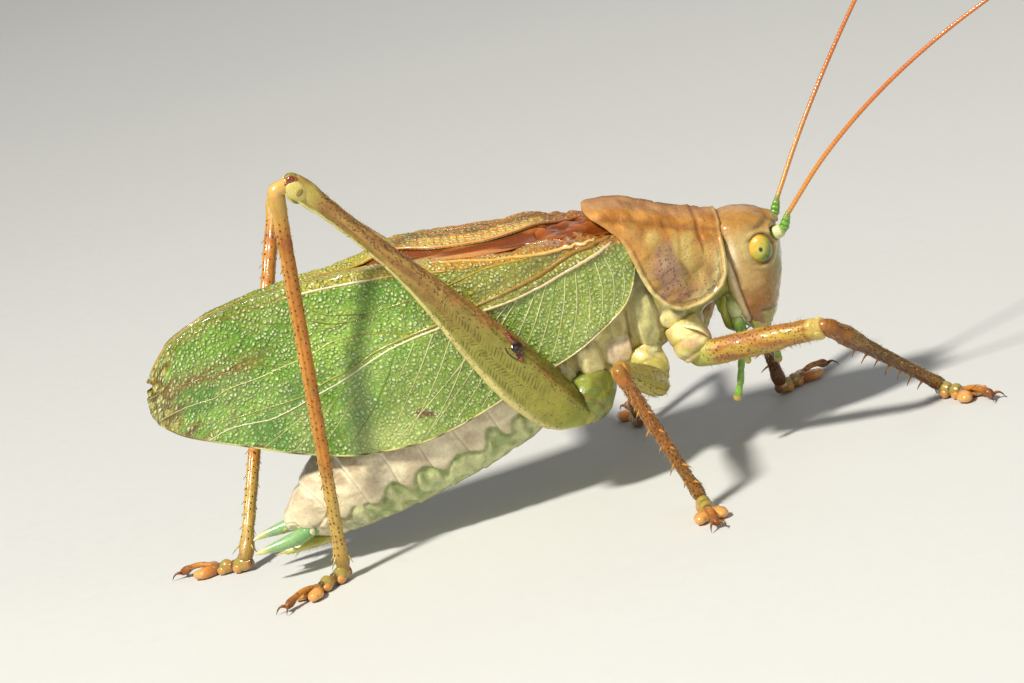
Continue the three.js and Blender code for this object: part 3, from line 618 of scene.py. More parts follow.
def hip_joint(clay, stance):
    """The folded lobe that carries one leg."""
    pair, name = stance.split("_")
    start = mirrored(COXA[pair]["start"], SIDES[name])
    hip = TILT.T @ hip_of(stance)
    radii = COXA[pair]["radii"]
    rows = [[0, *start, radii[0]], [0.6, *(start + (hip - start) * 0.6), radii[1]]]
    rows += [[1, *hip, radii[2]], [1.12, *(hip + (hip - start) * 0.07), radii[2] * 0.5]]
    t = np.linspace(0, 1.12, 44)
    course = along(rows, t)
    angle = around(64)
    axis = unit(hip - start)
    side = unit(np.cross(axis, [1, 0, 0.2]))
    up = np.cross(axis, side)
    fold = 0.07 * np.sin(3 * angle + 1)[None] * np.sin(t * 5)[:, None]
    fold = fold - 0.13 * hump(t, 0.86, 0.06)[:, None] + 0.06 * hump(t, 0.98, 0.06)[:, None]
    fold = fold - 0.1 * hump(t, 0.42, 0.05)[:, None] * smooth(-0.4, 0.6, np.sin(angle + 0.6))[None]
    fold = fold - 0.09 * hump(np.sin(angle * 1.5 + t[:, None] * 2.2), 0.0, 0.16)
    depth = {"hind": 0.2, "mid": 0.5, "fore": 0.3}[pair]
    lobes = 1 + fold * depth
    turned = np.cos(angle)[:, None] * side + np.sin(angle)[:, None] * up
    ring = course[:, None, :3] + (course[:, 3:4] * lobes)[..., None] * turned
    ring = ring + depth * (0.06 * waves(ring, 0.6, 11) + 0.03 * waves(ring, 0.25, 17))[..., None] * turned
    crease_shade = np.clip(-fold, 0, 0.2) * 5
    if pair == "hind":
        # the hind joint is dark olive green, partly its own colour and partly painted shade
        shade = mixed(rgb(134, 146, 66), rgb(102, 114, 42), smooth(-0.4, 0.6, waves(ring, 0.9, 12)))
    elif pair == "mid":
        shade = mixed(rgb(214, 204, 140), rgb(186, 180, 96), smooth(-0.4, 0.6, waves(ring, 0.7, 12)))
    else:
        shade = mixed(rgb(232, 224, 166), rgb(202, 190, 116), smooth(-0.4, 0.6, waves(ring, 0.7, 12)))
        shade = mixed(shade, rgb(226, 184, 160), 0.7 * smooth(0.3, 0.8, waves(ring, 0.45, 18)))
    shade = washed(shade, [
        # painted shade: darker olive in the creases of the folds
        (140, 124, 66, 0.6 * crease_shade),
        (110, 74, 40, 0.5 * hump(t, 0.87, 0.03)[:, None]),
    ])
    clay.skin(ring, shade, 0.0, ends=(0.2, 0.2))
    if pair == "fore":
        # the pale crescent flap over the joint with the thigh
        flap = [(8.75, 2.42, -0.95), (9.2, 2.6, -1.1), (9.65, 2.62, -1.4), (9.95, 2.5, -1.85)]
        line = through([mirrored(p, SIDES[name]) for p in flap], np.linspace(0, 1, 24))
        bulk = 0.05 + 0.09 * np.sin(np.linspace(0, math.pi, 24))
        clay.rod(line, bulk, rgb(244, 236, 190), 14, flat=0.55, across=(0, 1, 0.3))


def trunk_skin(material):
    clay = Clay()
    xs, angles = np.linspace(TAIL_X, NECK_X, 360), around(176)
    grid = barrel(TRUNK, xs, angles)
    x, z, level = grid[..., 0], grid[..., 2], np.sin(angles)[None]
    out = outward_of(grid)
    # abdominal rings: each swells back to a rim that laps over the next, on slanted joints
    length = (WAIST_X - TAIL_X) / SEGMENTS
    slant = x + 1.0 * (level - 0.1) + 0.07 * waves(grid, 1.5, 3)
    phase = (WAIST_X - slant) / length
    part = phase - np.floor(phase)
    abdomen = smooth(WAIST_X + 0.5, WAIST_X - 0.6, x) * smooth(TAIL_X - 0.3, TAIL_X + 0.8, x)
    side_fold = -0.4 + 0.1 * np.sin(phase * 2 * math.pi) + 0.06 * waves(grid, 0.8, 6)
    plate = smooth(side_fold - 0.08, side_fold + 0.1, level + 0 * x)
    rim = smooth(0.0, 0.2, part) * (0.35 + 0.65 * part) * smooth(1.0, 0.95, part)
    swell = abdomen * plate * (0.17 * rim - 0.06)
    lumpy = waves(grid * [1, 1, 0.7], 0.5, 5)
    ruffle = np.abs(np.sin(phase * math.pi * 2.0 + 2.5 * level + 0.8 * lumpy)) * 0.16 + lumpy * 0.09
    belly = smooth(-0.8, -0.93, level + 0 * x)
    swell += abdomen * (1 - plate) * (1 - belly) * (ruffle - 0.05)
    swell += abdomen * belly * (0.1 * rim - 0.02)
    swell -= abdomen * 0.14 * hump(level, side_fold - 0.02, 0.05)
    wrinkles = hump(part, 0.1, 0.12) * np.sin(grid[..., 2] * 14 + waves(grid, 0.7, 9) * 2)
    swell = swell + abdomen * plate * 0.02 * wrinkles + 0.03 * waves(grid, 0.9, 7)
    swell += 0.012 * waves(grid, 0.3, 8)
    # the thorax: side plates with steep edges over sunken seams
    thorax = smooth(1.2, 2.2, x) * smooth(9.6, 8.9, x)
    side_on = smooth(0.35, 0.7, np.abs(out[..., 1]))
    plates = []
    for cx, cz, lx, lz, lean, rise, tone in PLATES:
        across = np.abs(x - cx - lean * (z - cz)) / lx
        reach = (across**2.6 + np.abs((z - cz) / lz) ** 2.6) ** (1 / 2.6) + 0.08 * waves(grid, 0.6, 10)
        cover = smooth(1.06, 0.82, reach) * side_on
        swell += thorax * rise * cover * (0.62 + 0.38 * np.clip(1 - reach**2, 0, 1))
        swell -= thorax * 0.07 * hump(reach, 1.12, 0.1) * side_on
        plates.append((cover, hump(reach, 0.98, 0.1), tone))
    seam = hump(x - 6.0 - 0.1 * (z + 0.8), 0, 0.075) * smooth(0.7, 0.3, z) * smooth(-2.3, -1.9, z) * side_on
    folds = np.sin((x + 0.25 * z) * 9 + 1.5 * waves(grid, 0.9, 16)) * thorax * side_on * smooth(2.4, 0.6, z)
    swell = swell - 0.1 * seam + 0.03 * folds
    grid = grid + out * swell[..., None]
    # colours: pale rings mottled pinkish brown, a green pleat, cream and pink plates over a darker ground
    # that is painted shade
    skin = mixed(rgb(204, 192, 170), rgb(228, 220, 198), smooth(-0.4, 0.6, waves(grid, 1.1, 1)))
    mottle = smooth(0.05, 0.6, waves(grid * [0.8, 1, 1.4], 0.45, 13) + 0.4 * waves(grid, 0.2, 14))
    skin = washed(skin, [
        (158, 126, 112, 0.5 * mottle * (0.4 + 0.6 * smooth(-0.2, 0.7, level))),
        (166, 148, 136, 0.45 * smooth(0.35, 0.9, level + 0 * x)),
    ])
    joint = smooth(0.86, 0.97, part) + hump(part, 0.04, 0.06)
    skin = washed(skin, [
        (240, 234, 216, 0.8 * joint * smooth(-0.6, 0.3, level + 0 * x)),
        (150, 128, 104, 0.4 * hump(part, 0.0, 0.025) + 0.4 * hump(part, 1.0, 0.025)),
    ])
    green = mixed(rgb(146, 166, 104), rgb(190, 200, 150), smooth(-0.3, 0.6, lumpy))
    skin = mixed(skin, green, (1 - plate) * smooth(-13.0, -9, x) * 0.95)
    skin = washed(skin, [
        (206, 202, 170, belly * 0.6),
        (112, 128, 66, 0.55 * hump(level, side_fold - 0.02, 0.06) * smooth(-13, -9, x)),
        (226, 218, 196, smooth(-11.5, -13.4, x) * 0.5),
    ])
    # painted shade: the ground between the side plates is darker than the plates, and it darkens toward the
    # top
    cream = mixed(rgb(176, 168, 100), rgb(204, 196, 134), smooth(-0.5, 0.5, waves(grid, 0.6, 4)))
    cream = mixed(cream, rgb(150, 146, 82), 0.6 * smooth(0.2, 1.6, z))
    for cover, rim_of, tone in plates:
        patchy = mixed(rgb(*tone), rgb(*tone) * 0.8, smooth(-0.1, 0.7, waves(grid, 0.5, 15)))
        cream = mixed(cream, patchy, 0.95 * cover)
        cream = mixed(cream, rgb(240, 236, 200), 0.5 * rim_of * side_on)
    cream = mixed(cream, rgb(116, 66, 32), 0.9 * seam)
    tint = mixed(skin, cream, smooth(0.6, 2.2, x))
    tint = mixed(tint, rgb(164, 172, 100), smooth(8.9, 9.8, x) * 0.7)
    mark = 0.5 * plates[3][0] * thorax + 0.2 * abdomen * plate
    clay.skin(grid, tint, mark, ends=(0.35, 0.3))
    for stance in STANCE:
        hip_joint(clay, stance)
    # fine pale hairs on the last rings
    clay.bristles(grid, out, SEEDS["trunk_hairs"], 260, (0, 70), (0, 176), 0.5, [-1.0, 0, 0], 0.2,
                  (0.14, 0.34), tone=WHITE)
    nodes = ["prothorax", "thorax", "abdomen"] + [f"coxa_{stance}" for stance in STANCE]
    return clay.piece("trunk_skin", [material], nodes, TILT)


# ---- the head --------------------------------------------------------------------------------
# level sections: [z, back x, front x, half width, squareness]
CHIN_Z, CROWN_Z = -2.75, 3.76
HEAD = [
    [CHIN_Z, 12.45, 13.4, 1.1, 2.2],
    [-2.3, 12.15, 13.8, 1.45, 2.3],
    [-1.4, 11.85, 14.22, 1.78, 2.3],
    [-0.3, 11.7, 14.62, 1.93, 2.3],
    [0.8, 11.7, 14.86, 2.02, 2.3],
    [1.8, 11.75, 14.96, 2.0, 2.2],
    [2.6, 11.8, 14.88, 1.9, 2.1],
    [3.2, 11.85, 14.42, 1.6, 2.1],
    [3.6, 12.0, 13.8, 1.05, 2],
    [CROWN_Z, 12.3, 13.2, 0.5, 2],
]
SCAPE_AT = np.array([14.62, 1.15, 2.2])


def head_piece(material):
    clay = Clay()
    zs = CHIN_Z + (CROWN_Z - CHIN_Z) * (1 - np.cos(np.linspace(0, math.pi, 130))) / 2
    back, front, w, e = np.moveaxis(along(HEAD, zs), -1, 0)[..., None]
    angles = around(170)
    e = np.where(np.cos(angles) < 0, e + 2.6 * smooth(-2.4, -0.8, zs)[:, None], e)
    grid = np.zeros((len(zs), len(angles), 3))
    grid[..., 0] = (front + back) / 2 + (front - back) / 2 * squared(np.cos(angles), e)
    grid[..., 1] = w * squared(np.sin(angles), e)
    grid[..., 2] = zs[:, None]
    out = outward_of(grid)
    x, y, z = np.moveaxis(grid, -1, 0)
    side = np.abs(y)
    ex = (x - EYE_AT[0] - EYE_SHIFT[0]) / EYE_LOOK[0]
    ez = (z - EYE_AT[2] - EYE_SHIFT[2]) / EYE_LOOK[2]
    from_eye = np.sqrt(ex**2 + ez**2) + 3 * smooth(1.2, 0.6, side)
    swell = 0.07 * hump(from_eye, 1.24, 0.16) - 0.12 * smooth(1.1, 0.85, from_eye)
    # the strip along the rear edge with its seam, the cheek seam, the frontal ridge, the brow
    strip = 12.2 - 0.1 * z
    beside = side > 0.8
    swell -= 0.09 * hump(x, strip, 0.06) * smooth(1.7, 1.1, z) * smooth(-2.4, -1.8, z) * beside
    swell += 0.11 * hump(x, strip - 0.24, 0.15) * smooth(3.2, 2.2, z) * beside
    seam = 13.75 - 0.3 * (z - 1.0)
    swell -= 0.035 * hump(x, seam, 0.1) * smooth(0.9, 0.0, z) * smooth(-2.4, -1.8, z) * beside
    swell += 0.06 * hump(y, 0, 0.28) * smooth(13.8, 14.4, x)
    lip_seam = hump(z, -1.62 - 0.12 * (x - 13), 0.07)
    swell -= 0.09 * lip_seam * smooth(12.9, 13.2, x)
    swell -= 0.16 * hump(x, 13.95, 0.42) * hump(z, 2.82, 0.16) * smooth(0.8, 1.3, side)
    swell += 0.07 * hump(x, 14.2, 0.4) * hump(z, 3.1, 0.16)
    near = np.linalg.norm(grid * [1, 0, 1] + side[..., None] * [0, 1, 0] - SCAPE_AT, axis=-1)
    swell += 0.1 * hump(near, 0.5, 0.1) - 0.1 * smooth(0.42, 0.2, near)
    swell += 0.018 * waves(grid, 0.7, 21) + 0.012 * waves(grid, 0.3, 22)
    grid = grid + out * swell[..., None]
    # colours: tan cheeks, pinkish below, greenish in front, brown on top, with painted highlights high at the
    # back and painted shade under the brow and under the peak
    tint = mixed(rgb(200, 170, 118), rgb(180, 148, 98), smooth(-0.5, 0.6, waves(grid, 0.9, 23)))
    tint = washed(tint, [
        # painted highlight: a pale patch high on the back of the cheek
        (214, 200, 150, 0.7 * hump(x, 12.95, 0.4) * hump(z, 2.3, 1.0)),
        (166, 118, 82, smooth(0.5, -1.2, z) * smooth(14.3, 13.0, x) * 0.8),
        (150, 152, 66, smooth(13.9, 14.6, x) * smooth(2.0, 0.8, z) * 0.85),
        (200, 200, 130, 0.85 * smooth(-1.55, -1.75, z + 0.12 * (x - 13)) * smooth(12.9, 13.2, x)),
        (110, 74, 48, 0.7 * lip_seam * smooth(12.9, 13.2, x)),
        (186, 140, 78, smooth(2.5, 3.4, z)),
        # painted shade: dark brown in the groove between the crown and the eye
        (124, 78, 42, 0.6 * hump(x, 13.95, 0.45) * hump(z, 2.84, 0.16) * smooth(0.8, 1.3, side)),
    ])
    back_strip = smooth(strip + 0.03, strip - 0.05, x) * smooth(2.6, 1.6, z) * beside
    tint = washed(tint, [
        (252, 236, 206, 0.95 * back_strip),
        # painted highlight: a near-white patch on the rear edge, high on the cheek
        (250, 240, 228, 0.85 * hump(x, 12.32, 0.18) * hump(z, 1.9, 0.75) * beside),
        (142, 82, 66, 0.75 * hump(x, strip, 0.06) * smooth(1.7, 1.1, z) * beside),
        (206, 196, 136, 0.5 * hump(from_eye, 1.3, 0.17)),
        (112, 70, 44, 0.8 * hump(from_eye, 1.04, 0.07)),
        (140, 104, 70, 0.4 * hump(x, seam, 0.09) * smooth(0.9, 0.0, z) * beside),
    ])
    mark = 0.3 + 0.3 * smooth(0, 2.5, z)
    clay.skin(grid, tint, mark, ends=(0.25, 0.04))
    # the blunt peak between the feelers
    path = along([[0, 13.5, 2.72, 0.74], [0.6, 14.5, 2.74, 0.56], [0.9, 14.95, 2.66, 0.38],
                  [1, 15.1, 2.58, 0.2]], np.linspace(0, 1, 30))
    angle = around(56)
    centre = np.stack([path[:, 0], 0 * path[:, 0], path[:, 1]], axis=-1)
    ring = np.stack([0 * angle, np.cos(angle), 0.92 * np.sin(angle)], axis=-1)
    peak = centre[:, None] + path[:, 2, None, None] * ring[None]
    peak[..., 2] -= 0.06 * hump(peak[..., 1], 0, 0.09) * smooth(2.7, 3.0, peak[..., 2])
    peak += 0.015 * waves(peak, 0.35, 25)[..., None]
    shade = mixed(rgb(176, 128, 70), rgb(214, 196, 140), smooth(14.6, 15.05, peak[..., 0]))
    # painted shade: the underside of the peak darkens to brown
    shade = mixed(shade, rgb(104, 62, 34), 0.7 * smooth(2.7, 2.35, peak[..., 2]))
    clay.skin(peak, shade, 0.4, ends=(0.0, 0.12))
    # the upper lip: two rounded plates hung in front of the jaws
    t = np.linspace(0, 1, 36)
    rows = along([[0, 13.5, -2.0, 0.62, 0.85], [0.35, 13.5, -2.5, 0.5, 0.8],
                  [0.5, 13.42, -2.66, 0.4, 0.72], [0.6, 13.38, -2.78, 0.46, 0.76],
                  [0.85, 13.1, -3.1, 0.42, 0.62], [1, 12.95, -3.26, 0.3, 0.42]], t)
    ring = np.stack([np.cos(angle) * 0.9, 0 * angle, np.cos(angle) * 0.35], axis=-1)
    across = np.stack([0 * angle, np.sin(angle), 0 * angle], axis=-1)
    centre = np.stack([rows[:, 0] - 0.15, 0 * t, rows[:, 1]], axis=-1)
    lip = centre[:, None] + rows[:, 2, None, None] * ring + rows[:, 3, None, None] * across
    lip += 0.02 * waves(lip, 0.4, 24)[..., None]
    shade = mixed(rgb(196, 190, 124), rgb(206, 176, 120), smooth(-2.6, -3.0, lip[..., 2]))
    shade = mixed(shade, rgb(120, 86, 50), 0.6 * hump(lip[..., 2], -2.68, 0.05))
    clay.skin(lip, shade, 0.2, ends=(0.1, 0.1))
    # short pale bristles on face and lip
    clay.bristles(grid, out, SEEDS["head_hairs"], 150, (6, 124), (0, 170), 1, [0.1, 0, -0.6], 0.15,
                  (0.1, 0.24), lambda r, c, draw: from_eye[r, c] < 1.5 or x[r, c] < 12.4)
    return clay.piece("head_capsule", [material], ["head", "labrum"], TILT)


def mouthparts(material):
    clay = Clay()
    green, tan = rgb(98, 150, 48), rgb(206, 160, 96)
    for name, side in SIDES.items():
        # mandible
        path = [mirrored(p, side) for p in ((12.75, 0.95, -2.1), (12.9, 0.86, -2.6),
                                            (12.85, 0.76, -3.0), (12.75, 0.5, -3.32))]
        t = np.linspace(0, 1, 16)
        radii = along([[0, 0.56], [0.4, 0.5], [0.75, 0.4], [1, 0.2]], t)[:, 0]
        shade = mixed(rgb(186, 176, 104), rgb(70, 40, 24), smooth(0.75, 1, t))
        clay.rod(through(path, t), radii, shade, 28, 0.2)
        # maxilla: a strap, a glossy whitish lobe and a green one behind the cheek
        parts = (
            ([(11.35, 1.1, -0.55), (11.15, 1.3, -1.2), (11.2, 1.3, -1.9), (11.5, 1.3, -2.3)],
             [0.16, 0.24, 0.24, 0.16], rgb(186, 190, 96), rgb(150, 166, 76)),
            ([(11.75, 1.2, -0.6), (11.68, 1.42, -0.95), (11.7, 1.46, -1.3), (11.8, 1.4, -1.6)],
             [0.22, 0.36, 0.36, 0.22], rgb(196, 206, 130), rgb(226, 236, 196)),
            ([(11.72, 1.3, -1.5), (11.66, 1.46, -1.85), (11.72, 1.46, -2.2), (11.85, 1.4, -2.55)],
             [0.2, 0.33, 0.32, 0.2], rgb(186, 210, 130), rgb(96, 156, 62)),
        )
        t = np.linspace(0, 1, 24)
        for points, sizes, first, last in parts:
            line = through([mirrored(p, side) for p in points], t)
            radii = through([[size] for size in sizes], t)[:, 0]
            clay.rod(line, radii, mixed(first, last, smooth(0.1, 0.8, t)), 26)
        # palps: slim joints, each a little wider toward its end, with tan tips
        tips = {
            "left": ((11.6, 1.5, -2.3), (12.5, 1.8, -3.3), (13.2, 2.1, -4.2), (13.5, 2.2, -5.1),
                     (13.45, 2.2, -5.75)),
            "right": ((11.6, 1.5, -2.3), (11.5, 1.8, -3.3), (11.2, 1.95, -4.2), (10.95, 2.0, -5.0),
                      (10.6, 2.0, -5.75)),
        }[name]
        labial = ((11.95, 0.5, -2.9), (11.8, 0.7, -3.45), (11.7, 0.8, -3.95), (11.7, 0.8, -4.35))
        for joints, width in ((tips, 0.2), (labial, 0.16)):
            for k in range(len(joints) - 1):
                a, b = mirrored(joints[k], side), mirrored(joints[k + 1], side)
                last = k == len(joints) - 2
                u = np.linspace(0.0, 1.0, 18)
                shape = 0.72 + 0.1 * np.sin(u * math.pi) + (0.42 * u**2 if last else 0.22 * u)
                shade = mixed(green, rgb(132, 178, 70), hump(u, 0.5, 0.3))
                shade = mixed(shade, rgb(160, 190, 100), 0.8 * hump(u, 0.0, 0.07))
                shade = mixed(shade, tan, 0.9 * smooth(0.8, 0.95, u) if last else 0.25 * smooth(0.9, 1, u))
                course = a + (b - a) * u[:, None]
                clay.rod(course, width * shape, shade, 20)
                for q in (0.25, 0.4, 0.55, 0.7, 0.85):
                    root = a + (b - a) * q
                    way = unit(np.array([0.5, side * 0.8, -0.5]) + 0.6 * np.sin(7 * q + k))
                    clay.hair(root, way * (width + 0.12))
    nodes = [f"{part}_{name}" for part in ("mandible", "maxillary_palp", "labial_palp")
             for name in SIDES]
    return clay.piece("mouthparts", [material], nodes, TILT)


def eye_piece(name, material):
    side = SIDES[name]
    clay = Clay()
    polar = np.linspace(0, math.pi, 82)[1:-1, None]
    angle = around(110)[None]
    grid = np.stack([
        np.sin(polar) * np.cos(angle) * EYE_LOOK[0],
        np.cos(polar) * EYE_LOOK[1] + 0 * angle,
        np.sin(polar) * np.sin(angle) * EYE_LOOK[2],
    ], axis=-1)
    local = grid / EYE_LOOK
    facing = unit(np.array([-0.04, 0.93, 0.1]))
    from_dot = np.linalg.norm(unit(local) - facing, axis=-1)
    # painted light: gold on the side toward the key light, green on the far side
    painted_light_side = local @ np.array([-0.62, 0.1, 0.75])
    tint = mixed(rgb(64, 108, 22), rgb(176, 166, 44), smooth(-0.7, 0.2, painted_light_side))
    tint = washed(tint, [
        (230, 172, 70, smooth(0.15, 0.9, painted_light_side)),
        (196, 206, 96, 0.4 * hump(from_dot, 0.3, 0.08)),
        (18, 24, 10, smooth(0.185, 0.125, from_dot)),
        (142, 104, 44, 0.8 * smooth(1.0, 1.2, from_dot)),
    ])
    for far, turn in ((0.5, 0.9), (0.56, 2.4), (0.6, 4.4)):
        spot = unit(facing + far * np.array([math.cos(turn), 0, math.sin(turn)]))
        close = np.linalg.norm(unit(local) - spot, axis=-1)
        tint = mixed(tint, rgb(96, 112, 36), 0.25 * hump(close, 0, 0.06))
    grid[..., 1] *= side
    centre = mirrored(EYE_AT + EYE_SHIFT, side)
    clay.skin(grid + centre, tint, 0, grain=(grid * [1, side, 1]), caps=())
    return clay.piece(f"compound_eye_{name}", [material], [f"eye_{name}"], TILT)


# ---- feelers ---------------------------------------------------------------------------------
# where the stout joints end, the slopes at the root and far out in degrees, the length over
# which one gives way to the other, and the lean outward
FEELER = {
    "right": dict(joint=(15.3, 1.3, 2.55), rise=54, last=-12, bend=28, lean=0.17),
    "left": dict(joint=(15.2, 1.4, 2.6), rise=55, last=-10, bend=75, lean=0.42),
}
WHIP_LENGTH, WHIP_STRETCHES = 38, 11


def feeler(name, material):
    side = SIDES[name]
    f = FEELER[name]
    at = np.array(f["joint"])
    nodes = [at]
    for i in range(WHIP_STRETCHES + 1):
        run = i / WHIP_STRETCHES * WHIP_LENGTH
        rise = math.radians(f["last"] + (f["rise"] - f["last"]) * math.exp(-run / f["bend"]))
        way = unit([math.cos(rise), f["lean"], math.sin(rise)])
        at = at + way * (0.6 if i == 0 else WHIP_LENGTH / WHIP_STRETCHES)
        nodes.append(at)
    nodes = np.array(nodes)
    clay = Clay()
    # the stout first joint, glossy and whitish green
    root, elbow = np.array([14.3, 1.02, 1.98]), nodes[0] + [-0.06, 0, -0.3]
    t = np.linspace(0, 1, 30)
    shape = along([[0, 0.3], [0.2, 0.34], [0.38, 0.3], [0.55, 0.36], [0.85, 0.35], [1, 0.22]], t)[:, 0]
    shade = mixed(rgb(120, 166, 76), rgb(222, 230, 178), smooth(0.3, 0.6, t))
    shade = mixed(shade, rgb(130, 170, 80), 0.8 * smooth(0.85, 1.0, t))
    clay.rod((root + (elbow - root) * t[:, None]) * [1, side, 1], shape, shade, 32, 0.0)
    # the second joint and the first beads of the whip, green
    t = np.linspace(0, 1, 54)
    beads = 0.9 + 0.13 * np.abs(np.sin(t * math.pi * 3.2))
    shape = along([[0, 0.2], [0.15, 0.27], [0.5, 0.24], [1, 0.15]], t)[:, 0] * beads
    shade = mixed(rgb(84, 140, 44), rgb(128, 176, 74), hump(beads, 1.03, 0.06))
    shade = mixed(shade, rgb(150, 150, 62), smooth(0.8, 1, t))
    clay.rod((elbow + (nodes[1] - elbow) * t[:, None]) * [1, side, 1], shape, shade, 26, 0.0)
    # the whip: some 190 short joints, each a little wider at its tip
    lengths = np.concatenate([[0], np.cumsum(np.linalg.norm(np.diff(nodes[1:], axis=0), axis=1))])
    table = [[s, *p] for s, p in zip(lengths, nodes[1:])]
    joints, steps = 190, 4
    s = np.linspace(0, lengths[-1], joints * steps)
    part = (np.arange(len(s)) % steps) / (steps - 1)
    radius = 0.088 * (1 - s / lengths[-1]) ** 0.62 + 0.042
    radius = radius * (0.95 + 0.09 * part)
    shade = mixed(rgb(226, 154, 76), rgb(206, 118, 46), smooth(0.5, 9, s))
    shade = mixed(rgb(160, 166, 72), shade, smooth(0.0, 0.5, s))
    shade = mixed(shade, rgb(150, 76, 30), 0.4 * (part > 0.9) + 0.2 * smooth(15, 38, s))
    clay.rod(along(table, s) * [1, side, 1], radius, shade, 10)
    return clay.piece(f"feeler_{name}", [material], [f"antenna_{name}"], TILT)


# ---- the pronotum ----------------------------------------------------------------------------
# upright sections, [x, half width, top z, bottom z, squareness]
SADDLE = [
    [4.9, 2.75, 6.2, -4, 3.0],
    [6.2, 2.85, 6.05, -4, 3.0],
    [7.2, 2.82, 5.85, -4, 3.0],
    [8.2, 2.78, 5.42, -4, 2.9],
    [9.4, 2.7, 4.88, -4, 2.8],
    [10.6, 2.6, 4.38, -4, 2.7],
    [11.6, 2.45, 4.05, -4, 2.6],
    [12.6, 2.3, 3.8, -4, 2.5],
]
# its front and hind margins from the side, [x, z], both from the foot of the lobe upward
FRONT_RIM = [[9.62, -0.13], [10.1, -0.08], [10.7, 0.1], [11.35, 0.5], [11.8, 1.2], [11.95, 2.0],
             [12.05, 2.9], [12.18, 3.6], [12.2, 3.92]]
HIND_RIM = [[9.58, -0.13], [9.2, -0.12], [8.5, 0.15], [7.95, 0.75], [7.55, 1.5], [7.3, 2.4],
            [7.12, 3.4], [6.85, 4.3], [6.35, 5.15], [5.85, 5.7], [5.5, 6.0], [5.4, 6.15]]


